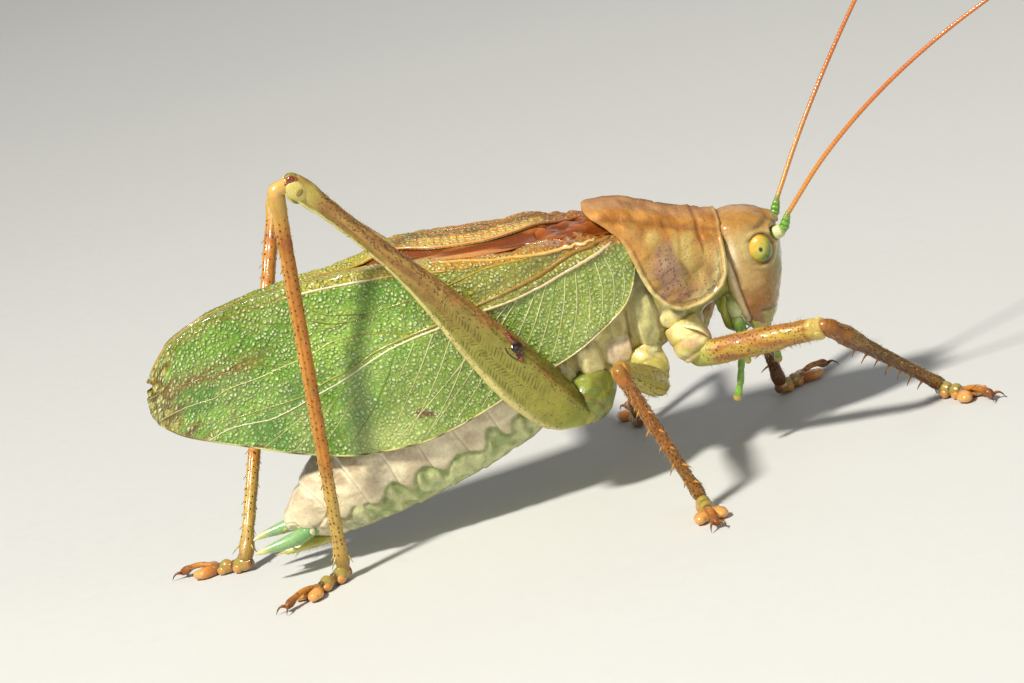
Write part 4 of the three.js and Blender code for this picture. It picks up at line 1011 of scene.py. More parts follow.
def pronotum(material):
    clay = Clay()
    # from the foot of the right lobe up to the crest, which is one column, and down the left lobe
    crest = 95
    half = 1 - np.cos(np.linspace(0.06, math.pi / 2, crest + 1))
    t = np.concatenate([half, half[-2::-1]])
    side = np.concatenate([-np.ones(crest + 1), np.ones(crest)])
    ends = []
    for rim in (HIND_RIM, FRONT_RIM):
        at = resampled(rim, t)
        w, top, bottom, e = along(SADDLE, at[:, 0]).T
        level = np.clip((at[:, 1] - (top + bottom) / 2) / ((top - bottom) / 2), -1, 1)
        ends.append((at[:, 0], np.arcsin(np.clip(np.abs(level) ** (e / 2), 0, 1)) * np.sign(level)))
    (hind_x, hind_turn), (front_x, front_turn) = ends
    hind_turn[crest] = front_turn[crest] = math.pi / 2
    u = (1 - np.cos(np.linspace(0, math.pi, 120)))[:, None] / 2
    x = hind_x + (front_x - hind_x) * u
    turn = hind_turn + (front_turn - hind_turn) * u

    def saddle(at_x):
        w, top, bottom, e = np.moveaxis(along(SADDLE, at_x), -1, 0)
        return np.stack([
            at_x,
            side * w * squared(np.cos(turn), e),
            (top + bottom) / 2 + (top - bottom) / 2 * squared(np.sin(turn), e),
        ], axis=-1)

    grid = saddle(x)
    w, top, bottom, e = np.moveaxis(along(SADDLE, x), -1, 0)
    down = saddle(x + 0.05) - grid
    over = np.stack([
        0 * x,
        -side * w * np.sin(turn) * np.maximum(np.abs(np.cos(turn)), 0.02) ** (2 / e - 1),
        (top - bottom) / 2 * np.cos(turn) * np.maximum(np.abs(np.sin(turn)), 0.02) ** (2 / e - 1),
    ], axis=-1)
    out = unit(np.cross(down, over))
    out = out * np.sign((out * (grid - [9, 0, 1.0])).sum(axis=-1, keepdims=True))
    x, y, z = np.moveaxis(grid, -1, 0)
    # how far each point is from the hind and the front margin
    from_hind = np.linalg.norm(grid - grid[:1], axis=-1)
    from_front = np.linalg.norm(grid - grid[-1:], axis=-1)
    edge = np.full(x.shape, 9.0)
    for point in np.concatenate([grid[0], grid[-1]]):
        edge = np.minimum(edge, np.linalg.norm(grid - point, axis=-1))
    low = smooth(3.0, 2.0, z)
    ahead = smooth(9.2, 10.2, x)
    lobe = smooth(4.6, 3.6, z)
    aside = np.abs(y) > 1.2
    swell = -0.08 * smooth(0.12, 0.0, edge)
    swell += 0.1 * hump(edge, 0.15, 0.09) * (0.3 + 0.7 * low * ahead) * smooth(5.2, 4.4, z)
    swell -= 0.06 * hump(edge, 0.36, 0.1) * (0.3 + 0.7 * low) * smooth(5.0, 4.2, z)
    # the upright groove of the collar, the V-shaped groove, the dents of the side lobes
    collar = hump(x, 10.92 + 0.03 * (z - 3), 0.1) * smooth(2.2, 2.9, z)
    swell -= 0.07 * collar
    groove = 9.55 + 0.3 * np.abs(z - 2.6)
    cut = hump(x, groove, 0.13) * smooth(0.9, 1.6, z) * smooth(4.7, 4.0, z)
    swell -= 0.05 * cut
    swell -= 0.13 * hump(x, 10.2, 0.7) * hump(z, 1.5, 0.8) * aside
    swell += 0.13 * hump(x, 8.6, 0.8) * hump(z, 2.5, 1.0) * lobe
    swell += 0.08 * hump(x, 9.5, 1.0) * hump(z, 0.7, 0.5)
    shoulder = top - 0.17 - 0.02 * (x - 8)
    swell += 0.12 * hump(z, shoulder, 0.09) * aside
    swell -= 0.12 * hump(z, shoulder - 0.42, 0.2) * aside * smooth(5.6, 7.0, x)
    swell -= 0.05 * hump(y, 0, 0.1) * smooth(3.9, 4.4, z)
    swell = swell + 0.026 * waves(grid, 0.8, 41) + 0.02 * waves(grid, 0.33, 42)
    swell += 0.006 * waves(grid, 0.16, 43)
    grid = grid + out * swell[..., None]
    # colours: tan with a pale V, an orange-brown back and collar, pinkish blotches, a cream rim, a painted
    # shadow line under the shoulder and a pale band of painted light inside the lower front rim
    patchy = waves(grid, 0.7, 44)
    tint = mixed(rgb(204, 178, 118), rgb(184, 152, 92), smooth(-0.5, 0.6, patchy))
    tint = washed(tint, [
        (208, 190, 126, 0.8 * hump(x, 9.75, 0.55 + 0.12 * (z - 2)) * smooth(1.4, 2.4, z)),
        (166, 178, 122, 0.6 * hump(x, 9.5, 0.35) * hump(z, 2.0, 0.7)),
    ])
    blotch = smooth(0.25, 0.75, hump(x, 8.75 + 0.2 * patchy, 1.05) * hump(z, 2.2 + 0.3 * patchy, 1.3))
    tint = washed(tint, [
        (164, 128, 122, np.clip(0.85 * blotch, 0, 1)),
        (196, 178, 160, 0.6 * hump(x, 8.75, 0.35) * hump(z, 2.6, 0.4)),
        (158, 116, 104, 0.9 * hump(x, 9.4 + 0.2 * patchy, 1.3) * hump(z, 0.8, 0.42)),
        (152, 116, 98, 0.6 * hump(x, 10.9, 0.4) * hump(z, 1.5 + 0.3 * patchy, 0.7)),
        (196, 144, 84, 0.85 * smooth(10.9, 11.3, x) * smooth(1.4, 2.6, z)),
        (198, 144, 84, 0.85 * smooth(1.7, 0.5, from_hind) * smooth(2.2, 3.6, z)),
    ])
    back = smooth(shoulder - 1.3, shoulder - 0.2, z + 0.25 * patchy)
    ridge = mixed(rgb(180, 124, 64), rgb(208, 154, 90), smooth(-0.4, 0.6, waves(grid, 0.5, 40)))
    tint = mixed(tint, ridge, back)
    tint = washed(tint, [
        # painted shadow: a dark brown line under the edge of the shoulder
        (136, 82, 38, 0.55 * hump(z, shoulder - 0.34, 0.1) * aside),
        (166, 108, 58, 0.45 * cut + 0.6 * collar),
    ])
    margin = smooth(0.26, 0.12, edge) * smooth(4.8, 3.8, z)
    tint = washed(tint, [
        (240, 230, 180, margin * np.clip(0.3 + 0.7 * low, 0, 1)),
        # painted light: a pale glow inside the lower front rim
        (238, 230, 184, 0.75 * hump(edge, 0.46, 0.26) * low * ahead),
        (140, 92, 50, 0.6 * smooth(0.1, 0.02, from_front) * smooth(2.2, 3.0, z)),
        (150, 108, 60, 0.5 * hump(edge, 0.3, 0.05) * lobe),
    ])
    mark = (0.5 + 0.5 * np.clip(blotch, 0, 1) + 0.5 * hump(z, 0.8, 0.6)) * (1 - 0.8 * margin)
    clay.sheet(grid, out, 0.2 + 0.16 * smooth(0.1, 0.9, edge), tint, mark, under=rgb(150, 130, 90))
    clay.bristles(grid, out, SEEDS["shield_hairs"], 260, (0, 120), (1, 190), 1, 0, 0.35, (0.08, 0.2),
                  lambda r, c, draw: edge[r, c] > 0.5 and draw.random() < 0.7)
    return clay.piece("pronotum_shield", [material], ["pronotum"], TILT)


# ---- the wings -------------------------------------------------------------------------------
# [x, fold y, fold z, flank y, flank z, lower edge y, lower edge z], y outward
TEGMEN = [
    [7.35, 1.95, 4.1, 2.3, 3.6, 2.4, 3.15],
    [6.9, 2.2, 4.45, 2.55, 3.3, 2.6, 2.1],
    [6.2, 2.5, 4.75, 2.75, 3.0, 2.75, 1.1],
    [5, 2.8, 5.0, 2.9, 2.7, 2.85, 0.3],
    [3, 2.95, 5.3, 2.95, 2.3, 2.85, -0.7],
    [0, 3.0, 5.65, 2.95, 1.9, 2.9, -1.6],
    [-2.5, 2.75, 6.05, 3.05, 1.6, 2.95, -2.4],
    [-4.3, 2.2, 6.35, 3.1, 1.5, 2.95, -2.85],
    [-6.2, 1.65, 6.45, 2.95, 1.5, 2.9, -3.1],
    [-9, 1.05, 6.5, 2.55, 1.7, 2.6, -2.95],
    [-12, 0.7, 6.4, 2.0, 2.0, 2.1, -2.2],
    [-15, 0.62, 6.0, 1.35, 2.2, 1.3, -1.1],
    [-17, 0.6, 5.2, 1.0, 2.3, 0.95, -0.25],
    [-18.3, 0.6, 4.2, 0.8, 2.4, 0.75, 0.4],
    [-19.25, 0.55, 3.2, 0.65, 2.3, 0.62, 1.1],
]
# the inner edges, [x, y, z]; behind the song field both run along one line down the back
BACK_LINE = [[-6.2, 0.08, 6.2], [-9, 0.08, 6.35], [-12, 0.08, 6.3], [-15, 0.08, 5.95],
             [-17, 0.08, 5.25], [-18.3, 0.08, 4.35], [-19.25, 0.08, 3.4]]
INNER_EDGE = {
    "right": [[7.35, 1.4, 4.15], [6.2, 0.9, 4.85], [3, -0.6, 5.25], [0, -0.8, 5.5],
              [-2.5, -0.6, 5.75], [-4.3, 0.0, 6.0]] + BACK_LINE,
    "left": [[7.35, 1.4, 4.15], [5, 0.7, 5.1], [3.2, 0.1, 5.25], [1.6, -0.8, 5.4],
             [0, -1.15, 5.5], [-2.5, -0.85, 5.75], [-4.3, -0.1, 6.0]] + BACK_LINE,
}
# how far the left wing lies over the right one, and how far the back and the flank bulge
LAP, DOME, FLANK_BOW = 0.62, 0.06, 0.11
WING_ROOT, WING_TIP, WING_ROWS, WING_COLUMNS = 7.3, -19.25, 280, 116
BEAD_STEP = 1.5  # rows from one ring of a bead to the next

# the main veins of the flank as seen from the side, [x, z] from the root backward, with the
# half widths at both ends and the colours at both ends
VEINS = [
    ([(6.3, 4.8), (4.5, 4.7), (2.5, 4.1), (0, 3.6), (-1.7, 3.3), (-4, 2.9), (-6, 2.6), (-7.2, 2.3),
      (-8.2, 1.9), (-10, 1.4), (-11, 1.0), (-13, 0.8), (-15, 0.6), (-17, 0.7), (-19, 0.9)],
     0.12, 0.024, rgb(160, 120, 54), rgb(160, 158, 78)),
    ([(6.3, 4.5), (4, 3.9), (2, 3.4), (0, 3.1), (-1, 3.05), (-4, 2.72), (-6, 2.4), (-7, 2.08),
      (-8.2, 1.66), (-9, 1.32), (-10, 1.0), (-11, 0.72), (-12, 0.4), (-13.5, 0.1), (-15, 0.1),
      (-16, -0.1), (-17.3, -0.6)],
     0.1, 0.026, rgb(226, 204, 170), rgb(232, 230, 196)),
    ([(5.6, 4.92), (3, 5.08), (1, 5.36), (0, 5.5), (-1, 5.72), (-3, 6.1)],
     0.1, 0.09, rgb(236, 204, 134), rgb(226, 176, 96)),
    ([(2, 5.1), (0, 5.2), (-2, 4.9), (-4, 4.6), (-6, 4.4), (-7.8, 4.1), (-10, 4.0), (-13, 3.7),
      (-16, 3.2)], 0.04, 0.02, rgb(198, 160, 50), rgb(120, 124, 50)),
    ([(-8, 4.1), (-9, 4.3), (-10, 4.7), (-11, 4.8), (-12, 5.0), (-13, 5.4), (-14.5, 5.9)],
     0.035, 0.02, rgb(112, 104, 40), rgb(120, 120, 50)),
    ([(-7, 4.3), (-8.8, 4.7), (-9.9, 5.4), (-10.8, 6.0)], 0.03, 0.02, rgb(112, 108, 40),
     rgb(120, 124, 50)),
    ([(-5, 2.85), (-7, 3.35), (-8.8, 3.4), (-10, 3.1), (-11.5, 2.8), (-13, 2.5), (-15, 2.2),
      (-15.8, 1.9), (-17, 1.8), (-19, 1.35)], 0.04, 0.022, rgb(150, 150, 60), rgb(206, 204, 140)),
    ([(-11.5, 2.8), (-13, 3.0), (-15, 3.1), (-17.5, 3.0)], 0.025, 0.02, rgb(150, 150, 70),
     rgb(150, 120, 60)),
    ([(-10, 0.95), (-11, 0.2), (-12.2, -0.45), (-14, -1.35)], 0.03, 0.018, rgb(120, 160, 60),
     rgb(206, 210, 150)),
    ([(-8.8, 1.2), (-10, 0.1), (-11.2, -0.95), (-12.5, -1.85)], 0.03, 0.018, rgb(120, 160, 60),
     rgb(206, 210, 150)),
    ([(-7.6, 1.6), (-8.8, 0.2), (-10.2, -1.2), (-11.6, -2.3)], 0.03, 0.018, rgb(120, 160, 60),
     rgb(206, 210, 150)),
    ([(-6, 2.1), (-7.2, 0.3), (-8.5, -1.2), (-10, -2.55)], 0.035, 0.018, rgb(110, 140, 50),
     rgb(112, 126, 50)),
    ([(-4.9, 2.4), (-5.8, 1.2), (-7, -0.2), (-8.6, -1.75)], 0.03, 0.018, rgb(206, 214, 150),
     rgb(150, 170, 90)),
    ([(-3.8, 2.6), (-5, 0.9), (-6.3, -0.8), (-7.8, -2.7)], 0.032, 0.02, rgb(214, 222, 160),
     rgb(190, 196, 130)),
    ([(-2.6, 2.75), (-3.8, 0.9), (-5.1, -0.8), (-6.6, -2.5)], 0.032, 0.02, rgb(214, 222, 160),
     rgb(214, 216, 160)),
    ([(-1.4, 2.9), (-2.5, 1.0), (-3.9, -0.9), (-5.4, -2.5)], 0.032, 0.02, rgb(214, 222, 160),
     rgb(214, 216, 160)),
]


# the height of the main stem along the wing, [x, z] from the root backward
STEM = [[7.3, 4.6], [4, 4.3], [0, 3.45], [-4, 2.75], [-8.2, 1.7], [-11, 0.9], [-19, 0.7]]


def stem_at(x):
    return np.interp(-x, *(np.array(STEM).T * [[-1], [1]]))


def wing_section(name, x):
    """Points across one tegmen from its inner edge over the fold to its lower edge, y outward."""
    fold_y, fold_z, flank_y, flank_z, low_y, low_z = along(TEGMEN, x)
    edge = along(INNER_EDGE[name], x)
    lift = LAP * smooth(-7.5, -4.3, x) * (1 - 0.62 * smooth(2.4, 4.6, x)) if name == "left" else 0
    edge = np.array([edge[0], edge[1] + lift])
    fold = np.array([fold_y, fold_z + 0.7 * lift])
    flank, low = np.array([flank_y, flank_z]), np.array([low_y, low_z])
    return np.array([
        edge, (edge + fold) / 2 + [0, DOME], edge + (fold - edge) * 0.88,
        fold + (flank - fold) * 0.1, (fold + flank) / 2 + [FLANK_BOW, 0], flank,
        (flank + low) / 2, low,
    ])


class Wing:
    """The outer surface of one tegmen as a dense grid, with places on it by x and height."""

    def __init__(self, name):
        self.side = SIDES[name]
        self.xs = np.linspace(WING_ROOT, WING_TIP, WING_ROWS)
        share = np.linspace(0, 1, WING_COLUMNS)
        grid = np.zeros((WING_ROWS, WING_COLUMNS, 3))
        self.span = np.zeros((WING_ROWS, WING_COLUMNS))
        self.fold = np.zeros(WING_ROWS)
        for r, x in enumerate(self.xs):
            line = wing_section(name, x)
            steps = np.linalg.norm(np.diff(line, axis=0), axis=1)
            at = np.concatenate([[0], np.cumsum(steps)])
            grid[r, :, 1:] = along(np.column_stack([at, line]), share * at[-1])
            self.span[r] = share * at[-1] - at[3]
            self.fold[r] = at[3] / at[-1]
        # the worn tip: one broad nick and a rounded, slightly frayed end
        z = grid[-1, :, 2]
        frayed = waves(grid[-1], 0.5, 50) * 0.035 + waves(grid[-1], 0.2, 49) * 0.012
        worn = 0.42 * smooth(2.72, 2.86, z) * smooth(3.5, 3.3, z) + 0.22 * smooth(1.9, 1.1, z) + 0.05
        worn = worn + 0.3 * smooth(3.7, 4.2, z) + frayed
        grid[..., 0] = self.xs[:, None] + smooth(-17.4, WING_TIP, self.xs)[:, None] * worn
        self.grid = grid
        self.normal = self.facing(grid)

    @staticmethod
    def facing(grid):
        normal = sheet_normals(grid)
        return normal if normal[WING_ROWS // 2, -WING_COLUMNS // 3, 1] > 0 else -normal

    def column(self, x, z):
        """The column whose flank stands at height z in the row at x."""
        row = np.interp(-np.asarray(x), -self.xs, np.arange(WING_ROWS))
        found = []
        for r, height in zip(np.atleast_1d(row), np.atleast_1d(z)):
            k = int(round(r))
            first = int(self.fold[k] * 0.75 * WING_COLUMNS)
            levels = self.grid[k, first:, 2]
            top = int(levels.argmax())
            found.append(first + top + np.interp(-height, -levels[top:], np.arange(len(levels) - top)))
        return row, np.array(found)

    def at(self, row, column, values):
        r, c = np.clip(row, 0, WING_ROWS - 1.001), np.clip(column, 0, WING_COLUMNS - 1.001)
        i, j = r.astype(int), c.astype(int)
        u, v = (r - i)[:, None], (c - j)[:, None]
        low = values[i, j] * (1 - v) + values[i, j + 1] * v
        return low * (1 - u) + (values[i + 1, j] * (1 - v) + values[i + 1, j + 1] * v) * u

    def bead(self, clay, row, column, widths, tint, rise=0.8):
        """A raised vein along places on the wing."""
        place = self.at(row, column, self.grid)
        normal = unit(self.at(row, column, self.normal))
        way = unit(np.gradient(place, axis=0))
        across = unit(np.cross(normal, way))
        angle = around(6)
        ring = (np.cos(angle)[None, :, None] * across[:, None]
                + rise * np.sin(angle)[None, :, None] * normal[:, None])
        rings = place[:, None] + widths[:, None, None] * ring
        grain = place[:, None] * [1, 0, 1] + 0 * rings
        rings[..., 1] *= self.side
        clay.skin(rings, tint[:, None], 0, ends=(0.0, 0.0), kind=1, grain=grain)

    def vein(self, clay, course, start, end, from_tint, to_tint):
        """A vein along a course of [x, z], with half widths and colours at its two ends."""
        points = resampled(course, np.linspace(0, 1, max(12, int(len(course) * 9))))
        row, column = self.column(points[:, 0], points[:, 1])
        share = np.linspace(0, 1, len(points))
        self.bead(clay, row, column, start + (end - start) * smooth(0, 1, share) ** 0.8,
                  mixed(from_tint, to_tint, smooth(0.1, 0.55, share)))


def wing_colours(name, x, z, span, under_fold, stem, lower, grain):
    """The colour of a tegmen at each point, field by field, and how strongly its cells show."""
    green = mixed(rgb(104, 146, 54), rgb(144, 174, 84), smooth(-0.5, 0.6, waves(grain, 1.5, 55)))
    green = mixed(green, rgb(156, 164, 98), 0.6 * smooth(0.0, 0.7, waves(grain * [0.6, 1.2, 1], 1.0, 56)))
    fan = smooth(stem - 0.2, stem - 0.8, z)
    green = washed(green, [
        (146, 162, 70, fan * smooth(-9.5, -3, x) * 0.8),
        (184, 188, 112, fan * smooth(0, 4.2, x) * 0.75),
        (204, 204, 156, fan * smooth(2.6, 5.2, x) * smooth(1.4, -0.6, z) * 0.85),
    ])
    # painted sheen: a pale patch near the lower edge around the middle, and a light green one higher up
    # behind it
    pale = hump(x, -7.2, 2.2) * smooth(2.8, 0.8, lower)
    green = washed(green, [
        (206, 206, 142, 0.75 * pale),
        (182, 208, 118, 0.75 * hump(x, -8.5, 3.4) * hump(z, 3.4, 2.0)),
    ])
    amber = smooth(-5.5, -1.5, x) * (1 - fan) * under_fold
    tint = mixed(green, mixed(rgb(170, 156, 76), rgb(158, 138, 64), smooth(0.5, 3, x)), amber * 0.92)
    tint = mixed(tint, rgb(196, 166, 92), 0.7 * hump(z, stem + 0.1, 0.16) * smooth(-6, 0, x))
    top = 1 - under_fold
    gold = mixed(rgb(206, 178, 84), rgb(210, 138, 62), smooth(-7, 0, x))
    tint = mixed(tint, gold, top * smooth(-12.5, -9, x) * 0.95)
    tint = washed(tint, [
        (176, 92, 38, top * smooth(1.5, 4.0, x) * 0.9),
        (150, 138, 62, top * smooth(-10.5, -13, x) * 0.6),
    ])
    if name == "left":
        # the song field: orange net on cream, a near-white rim painted as glints, a dark brown crown
        lens = smooth(-4.6, -2.6, x) * smooth(3.8, 2.4, x)
        inward = span / np.minimum(span[:, :1], -1e-3)
        net = np.abs(np.sin(math.pi * x / 0.42)) * np.abs(np.sin(math.pi * (span / 0.34 + x / 0.84)))
        mesh_tint = mixed(rgb(214, 118, 40), rgb(255, 206, 128), smooth(0.08, 0.42, net))
        # painted highlight: the rim of the song field is near white
        mesh_tint = mixed(mesh_tint, rgb(252, 240, 206), 0.8 * smooth(0.9, 0.97, inward))
        crown = mixed(rgb(122, 70, 14), rgb(176, 108, 30), smooth(-0.4, 0.5, waves(grain, 0.6, 45)))
        tint = mixed(tint, crown,
                     0.9 * smooth(-6.0, -4.0, x) * smooth(4.4, 3.4, x) * smooth(0.2, 0.4, inward))
        tint = mixed(tint, mesh_tint, lens * smooth(0.58, 0.66, inward + 0.06 * smooth(-1, 3, x)))
    # the brown worn tip with its streaks and pale flecks painted as glints, and a few small scars
    blot = waves(grain * [0.5, 1.6, 1], 0.8, 57)
    spot = waves(grain, 0.28, 58)
    brown = smooth(-16.9, -18.3, x + 0.7 * blot + 0.25 * spot)
    fibres = waves(grain * [0.3, 2.4, 1], 0.6, 39)
    streak = smooth(-11.0, -14.5, x) * hump(z, 3.3 + 0.1 * (x + 15), 0.42) * smooth(-0.4, 0.25, fibres)
    tint = washed(tint, [
        (142, 94, 34, np.clip(0.85 * brown + 0.9 * streak, 0, 0.92)),
        (110, 66, 26, 0.75 * brown * smooth(0.0, 0.6, spot)),
        # painted glints: pale flecks in the brown of the tip
        (226, 206, 150, 0.7 * brown * smooth(0.0, 0.6, waves(grain, 0.22, 48))),
    ])
    for sx, sz, size, tall in ((-5.2, -1.6, 0.34, 1.0), (-5.6, -1.45, 0.24, 1.0), (-14.2, -1.25, 0.6, 0.16)):
        reach = np.hypot((x - sx) / 1.2, (z - sz - 0.3 * (sx - x)) / tall) + 0.12 * waves(grain, 0.25, 59)
        tint = washed(tint, [
            (140, 74, 28, 0.9 * smooth(size, size * 0.45, reach)),
            (84, 44, 20, 0.8 * smooth(size * 0.5, size * 0.2, reach)),
        ])
    tint = mixed(tint, rgb(214, 212, 160), 0.6 * smooth(0.16, 0.04, lower))
    cell = 1 - 0.25 * amber - 0.2 * fan * smooth(-1, 3, x) - 0.5 * smooth(2.0, 4.0, x) * top
    # stronger cells high on the rear field give deeper relief and more painted crown light and glints; weaker
    # cells under the painted sheen
    cell = cell + 0.7 * hump(x, -12, 5.5) * smooth(-0.2, 1.6, z - stem)
    cell = np.clip(cell - 0.4 * pale, 0.15, 1.6)
    return tint, cell


def wing_veins(clay, wing):
    """The main veins, the fan of fine ones and the faint cross veins."""
    for course, start, end, from_tint, to_tint in VEINS:
        wing.vein(clay, course, start, end, from_tint, to_tint)
    bottom = along(TEGMEN, wing.xs)[:, 5]

    def low_at(at_x):
        return float(np.interp(-at_x, -wing.xs, bottom))

    # the fan of fine veins from the root to the lower edge
    for k in range(12):
        start_x, end_x = 6.35 - 0.55 * k, 6.0 - 0.62 * k - 0.055 * k * k
        start_z = stem_at(start_x) - 0.55
        end_z = low_at(end_x) + 0.3
        bow = 0.32 - 0.02 * k
        course = [(start_x, start_z), (start_x * 0.67 + end_x * 0.33 + bow, start_z * 0.67 + end_z * 0.33),
                  (start_x * 0.33 + end_x * 0.67 + bow, start_z * 0.33 + end_z * 0.67), (end_x, end_z)]
        strong = rgb(222, 226, 170) if k % 3 else rgb(120, 166, 60)
        wing.vein(clay, course, 0.03, 0.018, strong, rgb(222, 224, 172))
    # faint cross veins: upright in the amber field, a net between the branches elsewhere
    draw = np.random.default_rng(SEEDS["cross_veins"])
    for sx in np.arange(-5.5, 4.6, 0.62):
        at_x = sx + draw.uniform(-0.15, 0.15)
        foot = stem_at(at_x) + 0.2
        head = foot + draw.uniform(1.0, 1.5) * float(smooth(5.5, 1.0, at_x)) + 0.25
        course = [(at_x, head), (at_x - 0.05, (head + foot) / 2), (at_x - 0.22, foot)]
        wing.vein(clay, course, 0.014, 0.02, rgb(178, 162, 84), rgb(160, 142, 66))
    for _ in range(240):
        sx = draw.uniform(-18.4, 5.0)
        low = low_at(sx) + 0.5
        sz = draw.uniform(low, min(5.6, low + 7.5))
        reach, slope = draw.uniform(0.2, 0.5), draw.uniform(-0.6, 1.4)
        stem_z = stem_at(sx)
        if abs(sz - stem_z) < 0.4 + reach or (sz > stem_z and sx > -5.5):
            continue
        course = [(sx, sz), (sx - 0.3 * slope * reach, sz - 0.5 * reach),
                  (sx - 0.5 * slope * reach, sz - reach)]
        wing.vein(clay, course, 0.016, 0.016, rgb(140, 164, 60), rgb(112, 150, 52))


def wing_rims(clay, wing):
    """The beads along the edges and the fold, and the arched veins of the song field."""
    # the pale bead along the lower edge, darkened here and there
    rows = np.arange(4.0, WING_ROWS - 4, BEAD_STEP)
    edge_x = np.interp(rows, np.arange(WING_ROWS), wing.xs)
    pale = mixed(rgb(214, 196, 150), rgb(206, 208, 140), smooth(-4, -9, edge_x))
    for dark_x, reach in ((-12.4, 0.6), (-10.9, 0.35), (-9.0, 0.4), (-8.2, 0.3), (-6.6, 0.5), (-4.9, 0.35),
                          (-14.9, 0.3), (-3.2, 0.25)):
        pale = mixed(pale, rgb(78, 42, 22), 0.95 * hump(edge_x, dark_x, reach))
    pale = mixed(pale, rgb(110, 72, 34), 0.85 * smooth(-15.5, -17.5, edge_x))
    wing.bead(clay, rows, 0 * rows + (WING_COLUMNS - 1.6), 0.045 + 0 * rows, pale, 0.9)
    # the line where the back folds into the flank: gold, white for a stretch, then lost in the edge
    rows = np.arange(WING_ROWS * 0.36, WING_ROWS * 0.9, BEAD_STEP)
    fold_x = np.interp(rows, np.arange(WING_ROWS), wing.xs)
    column = np.interp(rows, np.arange(WING_ROWS), wing.fold) * (WING_COLUMNS - 1)
    shade = mixed(rgb(222, 170, 88), rgb(240, 230, 204), smooth(-5, -7, fold_x))
    shade = mixed(shade, rgb(168, 132, 62), smooth(-9.8, -11.4, fold_x))
    wing.bead(clay, rows, column, 0.06 - 0.044 * smooth(-9, -12, fold_x), shade)
    # the inner edge: a rounded orange rim round the song field
    rows = np.arange(4.0, WING_ROWS - 3, BEAD_STEP)
    rim_x = np.interp(rows, np.arange(WING_ROWS), wing.xs)
    shade = mixed(rgb(226, 160, 96), rgb(178, 150, 74), smooth(-4, -9, rim_x))
    shade = mixed(shade, rgb(150, 78, 34), smooth(2.4, 3.8, rim_x))
    wing.bead(clay, rows, 0 * rows + 0.6, 0.085 - 0.045 * smooth(-4, -8, rim_x), shade, 0.9)
    # the arched veins of the song field
    for first, last, share in ((0.12, 0.39, 0.3), (0.14, 0.365, 0.55), (0.18, 0.34, 0.78)):
        first, last = first * WING_ROWS, last * WING_ROWS
        rows = np.arange(first, last, BEAD_STEP)
        arch = np.sin((rows - first) / (last - first) * math.pi)
        fold_at = np.interp(rows, np.arange(WING_ROWS), wing.fold) * (WING_COLUMNS - 1)
        column = fold_at * (share + (0.9 - share) * (1 - arch) * 0.6)
        shade = np.repeat(rgb(196, 118, 50)[None], len(rows), 0)
        wing.bead(clay, rows, column, 0.035 + 0 * rows, shade)


def root_membranes(clay):
    """The two thin skins between the roots of the wings."""
    # the crumpled root membrane that closes the gap between the two wings
    u, v = np.linspace(0, 1, 60)[:, None], np.linspace(0, 1, 44)[None]
    patch = np.stack([
        6.9 - 4.2 * u + 0 * v,
        -1.75 + 3.1 * v + 0.25 * u,
        4.75 + 0.75 * u * (1 - 0.25 * u) + 0.35 * np.sin(math.pi * v) + 0 * u,
    ], axis=-1)
    rough = waves(patch * [0.55, 1, 1], 0.5, 46) * 0.13 + waves(patch * [0.6, 1, 1], 0.24, 47) * 0.04
    rough = rough * (0.45 + 0.55 * smooth(0.1, 0.5, v))
    patch[..., 2] += rough
    # painted light and shade: darker in the hollows of the crumples, lighter on their crests, lightest on the
    # crests toward the far side
    tone = mixed(rgb(112, 52, 18), rgb(176, 98, 38), smooth(-0.1, 0.16, rough))
    tone = mixed(tone, rgb(206, 142, 74), 0.7 * smooth(0.5, 0.9, v) * smooth(0.0, 0.15, rough))
    clay.sheet(patch, np.array([0, 0, 1.0]), 0.08, tone, 0.2, grain=patch + [0, 0, 40], kind=1)
    # the smooth red-brown membrane between the rim of this wing and the back of the other
    at_x = np.linspace(5.6, -6.4, 150)
    rim, under = along(INNER_EDGE["left"], at_x), along(INNER_EDGE["right"], at_x)
    fold = along(TEGMEN, at_x)
    rim_z = np.array([wing_section("left", k)[0, 1] for k in at_x])
    near = rim[:, 0] - 1.15
    share = np.clip((-near - under[:, 0]) / (fold[:, 0] - under[:, 0]), 0, 1)
    near_z = under[:, 1] + (fold[:, 1] - under[:, 1]) * share + 0.05
    v = np.linspace(0, 1, 34)[None]
    skin = np.stack([
        at_x[:, None] + 0 * v,
        (rim[:, 0] + 0.14)[:, None] * (1 - v) + near[:, None] * v,
        (rim_z - 0.09)[:, None] * (1 - v) + near_z[:, None] * v,
    ], axis=-1)
    fibres = waves(skin * [0.22, 1.0, 1.0], 0.45, 38)
    skin[..., 2] -= 0.1 * smooth(-5.6, -6.4, skin[..., 0])
    sag = np.sin(math.pi * v)
    skin[..., 2] -= 0.16 * sag * (rim_z - near_z)[:, None] - 0.05 * fibres * sag
    tone = mixed(rgb(126, 62, 22), rgb(188, 112, 46), smooth(-0.3, 0.5, fibres))
    tone = washed(tone, [
        # painted shadow: darkest under the rim of the left wing
        (84, 44, 18, 0.75 * smooth(0.3, 0.0, v)),
        # painted glints: pale orange on the raised fibres toward the rear
        (222, 176, 100, 0.5 * smooth(0.3, 0.8, fibres) * smooth(1.5, -3, skin[..., 0])),
    ])
    clay.sheet(skin, np.array([0, 0, 1.0]), 0.05, tone, 0.2, grain=skin + [0, 0, 60], kind=1)


